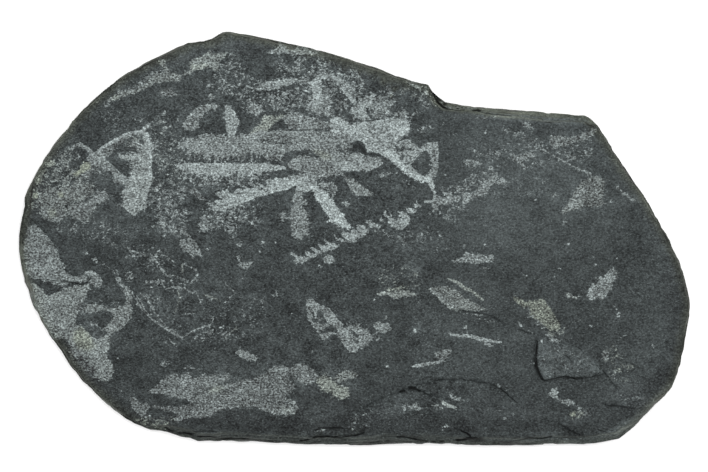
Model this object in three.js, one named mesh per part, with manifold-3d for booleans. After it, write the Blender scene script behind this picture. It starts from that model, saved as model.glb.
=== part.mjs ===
// A loose slab of black shale with graptolites pressed on its upper face.
// It is one natural stone, so it is one solid. Its fossils are films with no height of their own.
// Millimetres, +Z up. The origin is the middle of the slab's box, on the face that it rests on.
import * as THREE from 'three';
import { mergeVertices } from 'three/addons/utils/BufferGeometryUtils.js';
import Module from 'manifold-3d';

const wasm = await Module();
wasm.setup();

// ---- driving dimensions ----

const THICKNESS = 7.0; // resting face to the flat of the fossil face
const RIM_STEP = 0.8; // distance between rim points, as broken shale is never smooth for longer
const RIM_CHATTER = 0.05; // how far small chips bite into the rim
const RAGGED_CHATTER = 0.16; // the same along the lower left, where the rim is splintered
const CLEARANCE = 0.3; // how far a cutting shape reaches past what it cuts

const SHALE_COLOUR = 0x4a5050;
const SHALE_ROUGHNESS = 0.78;

// The rim, clockwise from its top corner. A corner of the rim is where one stretch ends.
const RIM_STRETCHES = [
  // along the top, down to the notch
  [[-12.2, 19.75], [-11.4, 19.55], [-8.8, 19.1], [-5.9, 18.5], [-3.1, 17.9], [-0.6, 17.1], [0.9, 16.5],
    [3.7, 15.6], [5.5, 15.0], [7.0, 14.6]],
  // the notch, where a corner has spalled away
  [[7.0, 14.6], [7.2, 14.2], [7.5, 13.8], [8.0, 13.35], [8.6, 13.0], [9.4, 12.8]],
  // the straight stretch beyond it
  [[9.4, 12.8], [11.5, 12.5], [14.8, 12.3], [18.5, 12.0], [21.2, 11.8], [22.1, 11.7], [22.7, 11.4]],
  // down the right side to its widest point
  [[22.7, 11.4], [23.6, 10.2], [25.5, 7.2], [27.3, 4.4], [28.7, 2.2], [30.3, -0.9], [31.4, -3.8],
    [32.0, -6.2], [31.95, -7.6], [31.7, -8.9]],
  // round the lower right
  [[31.7, -8.9], [31.4, -10.4], [31.0, -12.2], [30.2, -14.2], [29.1, -15.3], [27.2, -17.1], [25.7, -18.6],
    [25.2, -19.0]],
  // along the bottom
  [[25.2, -19.0], [23.4, -19.4], [19.6, -19.55], [15.4, -19.75], [11.0, -19.65], [4.8, -19.5],
    [-0.4, -19.7], [-6.2, -19.55], [-10.9, -19.3], [-14.9, -19.2]],
  // the splintered lower left
  [[-14.9, -19.2], [-15.7, -19.0], [-16.9, -18.9], [-17.6, -18.6], [-19.4, -18.35], [-20.6, -17.7],
    [-22.1, -16.8], [-23.6, -15.8], [-25.4, -14.1], [-27.0, -12.3], [-28.1, -10.6], [-29.1, -9.2],
    [-30.4, -6.6], [-31.4, -4.1]],
  // round the left end
  [[-31.4, -4.1], [-31.8, -2.2], [-32.0, -0.4], [-31.9, 0.8], [-31.7, 2.0], [-31.4, 3.1]],
  // up the left side to the top corner
  [[-31.4, 3.1], [-31.45, 3.9], [-31.1, 4.8], [-30.0, 7.1], [-28.4, 9.4], [-26.4, 11.8], [-23.9, 14.1],
    [-22.0, 15.6], [-19.3, 17.2], [-16.3, 18.6], [-15.5, 18.8], [-14.3, 18.8], [-13.2, 19.3],
    [-12.2, 19.75]],
];
const SPLINTERED_STRETCH = 6;

// The bedding layers that the rim is broken through, from the resting face up. At each height the
// rim lies this far inside the outline, give or take its roughness, and its kinks are worn down
// by so many rounds of softening. Two rows at almost the same height make a ledge.
const LAYERS = [
  { height: 0.0, inset: 1.5, roughness: 0.5, rounds: 4 },
  { height: 0.4, inset: 0.95, roughness: 0.45, rounds: 3 },
  { height: 1.2, inset: 0.7, roughness: 0.4, rounds: 2 },
  { height: 1.27, inset: 0.4, roughness: 0.36, rounds: 1 },
  { height: 2.3, inset: 0.3, roughness: 0.24 },
  { height: 2.36, inset: 0.16, roughness: 0.2 },
  { height: 3.1, inset: 0.1, roughness: 0.16 },
  { height: 3.7, inset: 0.0, roughness: 0.0 },
  { height: 4.4, inset: 0.06, roughness: 0.1 },
  { height: 4.46, inset: 0.17, roughness: 0.18 },
  { height: 5.5, inset: 0.12, roughness: 0.12 },
  { height: 5.55, inset: 0.18, roughness: 0.14, brow: 0.25 },
  { height: 6.3, inset: 0.18, roughness: 0.1, brow: 0.35 },
  { height: 6.35, inset: 0.23, roughness: 0.1, brow: 0.6 },
  { height: 6.75, inset: 0.24, roughness: 0.09, brow: 0.75 },
  { height: THICKNESS, inset: 0.3, roughness: 0.09, brow: 1.0 },
];
const BEDDING_SWAY = 0.22; // how far the ledges of the rim rise and fall along it

// Where the upper edge of the rim is worn back further than elsewhere: from and to in x, on the
// top or the bottom edge, and how far back the fossil face then starts.
const WORN_BROWS = [
  { side: 'bottom', from: -18.0, to: 25.5, setBack: 0.62 },
  { side: 'top', from: 8.6, to: 23.2, setBack: 0.62 },
  { side: 'left', from: -5.0, to: 4.2, setBack: 0.34 },
];
const BROW_FADE = 1.6; // the length over which a worn brow starts and ends

// The flake: a thin lamina that has sprung up at its left and lower edges.
const FLAKE_OUTLINE = [
  [17.5, -9.3], [17.25, -10.1], [17.25, -12.3], [17.5, -13.0], [17.9, -13.4], [18.6, -13.5], [20.1, -13.2],
  [20.8, -13.2], [21.5, -13.35], [22.7, -13.1], [23.5, -12.7], [22.6, -11.5], [21.2, -10.4], [20.3, -10.2],
  [19.5, -9.8], [18.7, -9.5],
];
const FLAKE_RISE = 0.42; // height of its free corner over the face
const FLAKE_FREE_CORNER = [17.3, -13.4];
const FLAKE_HINGE = [21.9, -10.2]; // where it runs back into the face

// The scar at the left end: a lamina has come off between this ledge and the rim.
const LEFT_SCAR_LEDGE = [
  [-31.2, 2.3], [-30.4, 1.6], [-29.3, 0.6], [-28.7, -0.2], [-28.2, -1.3], [-27.9, -2.2], [-27.7, -2.8],
  [-27.1, -3.3], [-26.4, -3.5], [-25.7, -3.3], [-25.2, -3.7], [-25.5, -4.1], [-25.9, -4.3], [-26.8, -4.05],
  [-27.9, -4.1], [-29.4, -3.9], [-31.0, -3.9],
];
const LEFT_SCAR_DEPTH = 0.28;
const LEFT_SCAR_TILT = 0.05; // how much deeper it gets for each millimetre towards the rim

// The notch's inner ledge: the face ends at this crack, and the spalled corner lies lower.
const NOTCH_LEDGE = [
  [6.7, 14.9], [7.1, 14.1], [7.5, 13.4], [7.9, 12.85], [8.4, 12.45], [9.1, 12.3], [10.1, 12.35],
  [11.0, 12.45], [12.0, 12.6],
];
const NOTCH_DEPTH = 0.55;
const NOTCH_TILT = 0.25;

// Low ledges on the face. Each is a line with the lower side on its right, the width over which
// the lower side climbs back to the face, and its depth at the line.
const FACE_LEDGES = [
  { line: [[-0.3, -16.9], [2.1, -15.4], [4.4, -14.5], [7.6, -13.5], [10.1, -13.4], [12.4, -13.7],
    [14.4, -14.6], [15.6, -15.6]], width: 1.9, depth: 0.18 },
  { line: [[5.2, -14.5], [6.4, -14.5], [7.6, -14.9], [9.2, -15.4]], width: 0.9, depth: 0.2 },
  { line: [[17.6, -17.1], [19.1, -17.4], [20.3, -18.1], [21.7, -18.6]], width: 1.2, depth: 0.22 },
  { line: [[23.4, -15.8], [25.2, -15.9], [26.9, -16.2]], width: 1.3, depth: 0.18 },
  { line: [[9.4, -6.8], [12.0, -7.0], [13.9, -7.7], [14.3, -8.5]], width: 0.9, depth: 0.1 },
  { line: [[23.7, -12.6], [24.4, -13.4], [25.1, -14.2]], width: 0.8, depth: 0.12 },
];

// Crevices along the lower edge, where the topmost laminae have parted.
const CREVICES = [
  { line: [[-16.6, -18.65], [-13.6, -18.85], [-9.8, -19.1]], width: 0.2, depth: 0.5 },
  { line: [[-5.4, -19.2], [-3.9, -18.8], [-2.0, -18.8], [0.4, -18.6]], width: 0.24, depth: 0.55 },
  { line: [[4.5, -18.8], [5.9, -18.9], [7.1, -19.25], [9.7, -19.15], [11.2, -18.8], [12.2, -19.0]],
    width: 0.2, depth: 0.5 },
  { line: [[17.4, -19.0], [18.8, -18.85]], width: 0.2, depth: 0.4 },
];

// Scars on the resting face, shallow and clear of its middle, so that it still lies flat.
const UNDERSIDE_SCARS = [
  { line: [[-27.5, -9.0], [-24.0, -10.5], [-19.0, -9.6], [-14.0, -12.4], [-9.5, -18.0]], width: 4.2, depth: 0.6 },
  { line: [[13.0, 12.0], [15.5, 7.6], [20.5, 5.2], [26.0, 3.6]], width: 3.6, depth: 0.5 },
];

// ---- geometry helpers ----

const toVector = ([x, y]) => new THREE.Vector2(x, y);

// A smooth curve through the points, as a list of points no more than a step apart.
function walk(points, step) {
  const curve = new THREE.SplineCurve(points.map(toVector));
  return curve.getSpacedPoints(Math.ceil(curve.getLength() / step));
}

// Uneven waves between -1 and 1 along a length in millimetres, the same on every run.
function waves(length, seed) {
  const slow = Math.sin(length * 0.46 + seed * 2.1);
  const middle = Math.sin(length * 1.27 + seed * 5.3);
  const quick = Math.sin(length * 2.83 + seed * 3.7);
  return 0.45 * slow + 0.33 * middle + 0.22 * quick;
}

// A closed ring drawn towards its own neighbours' middles, which takes the kinks out of it.
function softened(ring, rounds) {
  let soft = ring;
  for (let round = 0; round < rounds; round += 1) {
    const last = soft;
    soft = last.map((point, i) => {
      const neighbours = last.at(i - 1).clone().add(last[(i + 1) % last.length]);
      return point.clone().lerp(neighbours.multiplyScalar(0.5), 0.5);
    });
  }
  return soft;
}

// How far outside a range a value lies, turned into a weight from 1 inside to 0 beyond the fade.
function weightWithin(value, from, to, fade) {
  const outside = Math.max(from - value, value - to, 0);
  return 1 - THREE.MathUtils.smoothstep(outside, 0, fade);
}

// A closed indexed geometry from rings of equal length, each an array of Vector3, with flat ends.
function loft(rings) {
  const count = rings[0].length;
  const positions = rings.flat().flatMap((point) => point.toArray());
  const index = [];
  for (let level = 0; level < rings.length - 1; level += 1) {
    for (let i = 0; i < count; i += 1) {
      const next = (i + 1) % count;
      const low = level * count;
      const high = low + count;
      index.push(low + i, low + next, high + next);
      index.push(low + i, high + next, high + i);
    }
  }
  const top = (rings.length - 1) * count;
  const flat = (ring) => ring.map((point) => new THREE.Vector2(point.x, point.y));
  for (const [a, b, c] of THREE.ShapeUtils.triangulateShape(flat(rings[0]), [])) {
    index.push(a, c, b);
  }
  for (const [a, b, c] of THREE.ShapeUtils.triangulateShape(flat(rings.at(-1)), [])) {
    index.push(top + a, top + b, top + c);
  }
  const geometry = new THREE.BufferGeometry();
  geometry.setAttribute('position', new THREE.Float32BufferAttribute(positions, 3));
  geometry.setIndex(index);
  return geometry;
}

function toSolid(geometry) {
  const bare = geometry.clone();
  bare.deleteAttribute('normal');
  bare.deleteAttribute('uv');
  const merged = mergeVertices(bare, 1e-4);
  return new wasm.Manifold(new wasm.Mesh({
    numProp: 3,
    vertProperties: new Float32Array(merged.attributes.position.array),
    triVerts: new Uint32Array(merged.index.array),
  }));
}

function toGeometry(solid) {
  const mesh = solid.getMesh();
  const geometry = new THREE.BufferGeometry();
  geometry.setAttribute('position', new THREE.BufferAttribute(mesh.vertProperties, 3));
  geometry.setIndex(new THREE.BufferAttribute(mesh.triVerts, 1));
  geometry.computeVertexNormals();
  return geometry;
}

// An upright plate over an outline. heightOf gives its top or its underside at a point.
function plate(outline, lowAt, highAt) {
  const shape = new THREE.Shape(outline.map(toVector));
  const geometry = new THREE.ExtrudeGeometry(shape, { depth: 1, bevelEnabled: false });
  const place = geometry.attributes.position;
  for (let i = 0; i < place.count; i += 1) {
    const heightAt = place.getZ(i) > 0.5 ? highAt : lowAt;
    place.setZ(i, heightAt(place.getX(i), place.getY(i)));
  }
  return geometry;
}

// A long wedge that cuts a ledge: upright at the line, and climbing back to the surface on its
// right. up is 1 on the fossil face and -1 on the resting face.
function wedge(line, width, depth, surface, up) {
  const path = walk(line, 0.7);
  const sections = path.map((point, i) => {
    const before = path[Math.max(i - 1, 0)];
    const after = path[Math.min(i + 1, path.length - 1)];
    const along = after.clone().sub(before).normalize();
    const right = new THREE.Vector2(along.y, -along.x);
    const fullness = Math.sin(Math.PI * THREE.MathUtils.clamp(i / (path.length - 1), 0.02, 0.98)) ** 0.7;
    const far = point.clone().addScaledVector(right, width * fullness);
    const clear = surface + up * CLEARANCE;
    const floor = surface - up * depth * fullness;
    return [
      new THREE.Vector3(point.x, point.y, clear),
      new THREE.Vector3(point.x, point.y, floor),
      new THREE.Vector3(far.x, far.y, surface),
      new THREE.Vector3(far.x, far.y, clear),
    ];
  });
  return strip(sections, up);
}

// A closed geometry from four-cornered sections along a line.
function strip(sections, up) {
  const positions = sections.flat().flatMap((point) => point.toArray());
  const index = [];
  const quad = (a, b, c, d) => index.push(a, b, c, a, c, d);
  for (let i = 0; i < sections.length - 1; i += 1) {
    for (let side = 0; side < 4; side += 1) {
      const next = (side + 1) % 4;
      quad(i * 4 + side, i * 4 + next, i * 4 + 4 + next, i * 4 + 4 + side);
    }
  }
  const last = (sections.length - 1) * 4;
  quad(3, 2, 1, 0);
  quad(last, last + 1, last + 2, last + 3);
  const geometry = new THREE.BufferGeometry();
  geometry.setAttribute('position', new THREE.Float32BufferAttribute(positions, 3));
  geometry.setIndex(up > 0 ? index.toReversed() : index);
  return geometry;
}

// ---- the slab ----

// The rim's outline with its small chips, counter-clockwise, and each point's way out.
function rimPoints() {
  const points = [];
  RIM_STRETCHES.forEach((stretch, number) => {
    const bite = number === SPLINTERED_STRETCH ? RAGGED_CHATTER : RIM_CHATTER;
    walk(stretch, RIM_STEP).slice(0, -1).forEach((point, i) => {
      const chip = i === 0 ? 0 : bite * (0.5 + 0.5 * waves(points.length * RIM_STEP * 1.6, number));
      points.push({ at: point, chip });
    });
  });
  points.reverse();
  return points.map(({ at, chip }, i) => {
    const before = points.at(i - 1).at;
    const after = points[(i + 1) % points.length].at;
    const along = after.clone().sub(before).normalize();
    const outward = new THREE.Vector2(along.y, -along.x);
    return { at: at.clone().addScaledVector(outward, -chip), outward };
  });
}

// How far a worn brow pushes the edge back at a point of the rim.
function browAt({ at, outward }) {
  let setBack = 0;
  for (const brow of WORN_BROWS) {
    const facing = { bottom: -outward.y, top: outward.y, left: -outward.x }[brow.side];
    const along = brow.side === 'left' ? at.y : at.x;
    const weight = weightWithin(along, brow.from, brow.to, BROW_FADE) * (facing > 0.7 ? 1 : 0);
    setBack = Math.max(setBack, weight * brow.setBack * (1 + 0.35 * waves(along, 3)));
  }
  return setBack;
}

function slabBody() {
  const rim = rimPoints();
  const rings = LAYERS.map(({ height, inset, roughness, rounds = 0, brow = 0 }, layer) => {
    const sway = BEDDING_SWAY * Math.sin(Math.PI * height / THICKNESS);
    const ring = rim.map((point, i) => {
      const back = Math.max(inset + roughness * waves(i * RIM_STEP, layer * 1.7), 0) + brow * browAt(point);
      const spot = point.at.clone().addScaledVector(point.outward, -back);
      return new THREE.Vector3(spot.x, spot.y, height + sway * waves(i * RIM_STEP * 0.6, 9));
    });
    return softened(ring, rounds);
  });
  return toSolid(loft(rings));
}

// The flake climbs evenly from its hinge to its free corner.
function flake() {
  const hinge = toVector(FLAKE_HINGE);
  const climb = toVector(FLAKE_FREE_CORNER).sub(hinge);
  const rise = (x, y) => {
    const share = new THREE.Vector2(x, y).sub(hinge).dot(climb) / climb.lengthSq();
    return FLAKE_RISE * THREE.MathUtils.clamp(share, -0.1, 1);
  };
  const root = THICKNESS - CLEARANCE;
  return toSolid(plate(FLAKE_OUTLINE, () => root, (x, y) => THICKNESS + rise(x, y)));
}

// The air over the left scar, out past the rim.
function leftScar() {
  const beyond = [[-34, -3.9], [-34, 2.3]];
  const floor = (x) => THICKNESS - LEFT_SCAR_DEPTH + LEFT_SCAR_TILT * (x + 25.0);
  return toSolid(plate([...LEFT_SCAR_LEDGE, ...beyond], floor, () => THICKNESS + CLEARANCE));
}

// The air over the spalled corner at the notch.
function notchScar() {
  const beyond = [[12.0, 15.5], [6.7, 15.5]];
  const floor = (x, y) => THICKNESS - NOTCH_DEPTH - NOTCH_TILT * Math.max(y - 12.4, 0);
  return toSolid(plate([...NOTCH_LEDGE, ...beyond], floor, () => THICKNESS + CLEARANCE));
}

function shaleSlab() {
  let slab = slabBody();
  slab = slab.subtract(leftScar());
  slab = slab.subtract(notchScar());
  for (const { line, width, depth } of [...FACE_LEDGES, ...CREVICES]) {
    slab = slab.subtract(toSolid(wedge(line, width, depth, THICKNESS, 1)));
  }
  for (const { line, width, depth } of UNDERSIDE_SCARS) {
    slab = slab.subtract(toSolid(wedge(line, width, depth, 0, -1)));
  }
  slab = slab.add(flake());
  const material = new THREE.MeshStandardMaterial({
    color: SHALE_COLOUR,
    roughness: SHALE_ROUGHNESS,
    metalness: 0,
    flatShading: true,
  });
  const mesh = new THREE.Mesh(toGeometry(slab), material);
  mesh.name = 'shale_slab';
  return mesh;
}

// ---- the part, with the origin under the middle of its box ----

const part = new THREE.Group();
const slab = shaleSlab();
const box = new THREE.Box3().setFromObject(slab);
const middle = box.getCenter(new THREE.Vector3());
slab.position.set(-middle.x, -middle.y, -box.min.z);
part.add(slab);

export default part;
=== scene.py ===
"""A broken slab of black shale with silvery graptolite films on its bedding face.

Everything is in metres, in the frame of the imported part: the slab lies on its
underside, +Z is up and +Y points to the top of the face. The drawing of the face is
kept on a plan sheet: x to the right and y down, in steps of PLAN_STEP_MM.
"""

import logging
import math
from dataclasses import dataclass, field

import bmesh
import bpy
import numpy as np
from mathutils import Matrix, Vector, noise


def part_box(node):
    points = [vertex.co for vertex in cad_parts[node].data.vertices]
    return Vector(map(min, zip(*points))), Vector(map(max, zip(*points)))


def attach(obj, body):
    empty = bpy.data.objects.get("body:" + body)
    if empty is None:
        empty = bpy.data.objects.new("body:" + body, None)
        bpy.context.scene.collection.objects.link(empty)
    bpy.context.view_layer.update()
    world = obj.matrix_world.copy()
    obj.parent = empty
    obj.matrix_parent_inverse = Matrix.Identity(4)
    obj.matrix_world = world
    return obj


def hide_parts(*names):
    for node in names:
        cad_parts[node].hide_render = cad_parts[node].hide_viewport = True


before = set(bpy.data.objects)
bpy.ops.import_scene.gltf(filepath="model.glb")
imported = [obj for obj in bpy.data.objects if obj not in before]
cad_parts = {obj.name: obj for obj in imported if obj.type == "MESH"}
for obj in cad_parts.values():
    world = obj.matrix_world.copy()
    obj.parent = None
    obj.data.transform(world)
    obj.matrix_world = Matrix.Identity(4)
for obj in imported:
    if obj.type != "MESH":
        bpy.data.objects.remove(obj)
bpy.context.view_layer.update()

LOG = logging.getLogger("graptolite_slab")

MM = 0.001
# The plan sheet: one step in millimetres, and the step that lies over the slab's middle.
PLAN_STEP_MM = 64.0 / 671.0
PLAN_MIDDLE = (354.5, 238.5)
PLAN_SIZE = (708.0, 472.0)


def points(text: str) -> np.ndarray:
    """Reads "x,y x,y ..." on the plan sheet as rows (x, y) on the slab, in millimetres."""
    steps = np.array([[float(v) for v in pair.split(",")[:2]] for pair in text.split()])
    return (steps - PLAN_MIDDLE) * (PLAN_STEP_MM, -PLAN_STEP_MM)


def strokes(text: str) -> list[np.ndarray]:
    """Reads lines on the plan sheet, divided by "/", as arrays of places in millimetres."""
    return [points(line) for line in text.split("/")]


@dataclass(frozen=True)
class Film:
    """One patch of the face: a fossil film, a dusting of grains, or bare shale.

    Attributes:
        name: what the patch is.
        shine: brightness of its silver, 0 to 1: the film's own lighter colour with its silvery sheen
            painted in.
        cover: share of the patch that the silver hides, 0 to 1.
        straw: how far its colour goes from silver to straw, 0 to 1.
        fade: width of its soft edge, in plan steps.
        outline: its corners on the plan sheet, one or more closed loops divided by " / ".
    """

    name: str
    shine: float
    cover: float
    straw: float
    fade: float
    outline: str


@dataclass(frozen=True)
class Hair:
    """Threads of film, drawn as narrow paths.

    Attributes:
        shine, cover, straw: the same as a Film's.
        width: full width, in plan steps.
        paths: the points of each thread on the plan sheet, the threads divided by " / ".
    """

    shine: float
    cover: float
    straw: float
    width: float
    paths: str


@dataclass(frozen=True)
class Comb:
    """A row of fine teeth along one side of a film.

    Attributes:
        shine, cover: the same as a Film's.
        width: width of a tooth at its foot, in plan steps.
        step: from one tooth to the next, in plan steps.
        reach: how far the teeth run across and down the plan sheet, as "x,y".
        foot: where the teeth stand, as "x,y x,y" on the plan sheet.
    """

    shine: float
    cover: float
    width: float
    step: float
    reach: str
    foot: str


@dataclass(frozen=True)
class Crack:
    """Grooves in the face, each cut in and darkened at its foot with painted shade.

    Attributes:
        depth: how deep it looks. The deeper, the darker the painted shade at its foot and the deeper the
            cut, which is DEEP_CRACK_MM at most.
        width: full width, in plan steps.
        paths: the points of each groove on the plan sheet, the grooves divided by " / ".
    """

    depth: float
    width: float
    paths: str


@dataclass(frozen=True)
class Shade:
    """One broad patch where the bare shale is lighter, darker or smoother.

    Attributes:
        tone: added to the shale's lightness, below 0 for darker.
        calm: how smooth the grain is, 0 for coarse, 1 for even.
        fade: width of its soft edge, in plan steps.
        outline: its corners on the plan sheet.
    """

    tone: float
    calm: float
    fade: float
    outline: str


@dataclass(frozen=True)
class Nudge:
    """One stretch of the outline that stands a little further out, or in, than the solid's.

    Attributes:
        push: how far it moves out from the slab's middle, in millimetres, below 0 for in.
        reach: how far along the outline the move is felt, in millimetres.
        at: its middle on the plan sheet.
    """

    push: float
    reach: float
    at: str


NUDGES: tuple[Nudge, ...] = (
    Nudge(0.14, 1.0, "642,193"),
    Nudge(0.10, 1.6, "474,107"),
    Nudge(0.13, 1.2, "433,91"),
    Nudge(0.18, 1.6, "373,66"),
    Nudge(0.12, 2.0, "250,35"),
    Nudge(-0.18, 2.4, "160,55"),
    Nudge(-0.12, 2.0, "66,130"),
    Nudge(-0.12, 1.6, "38,170"),
    Nudge(0.13, 2.0, "33,305"),
    Nudge(0.26, 1.4, "127,419"),
    Nudge(-0.24, 1.4, "163,430"),
    Nudge(0.10, 1.8, "208,440"),
    Nudge(-0.10, 1.4, "324,444"),
    Nudge(0.10, 1.2, "415,444"),
    Nudge(0.11, 1.2, "582,444"),
    Nudge(0.23, 1.6, "638,421"),
    Nudge(0.13, 1.6, "660,399"),
    Nudge(-0.10, 1.2, "686,327"),
    Nudge(0.20, 2.2, "678,258"),
)

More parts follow.
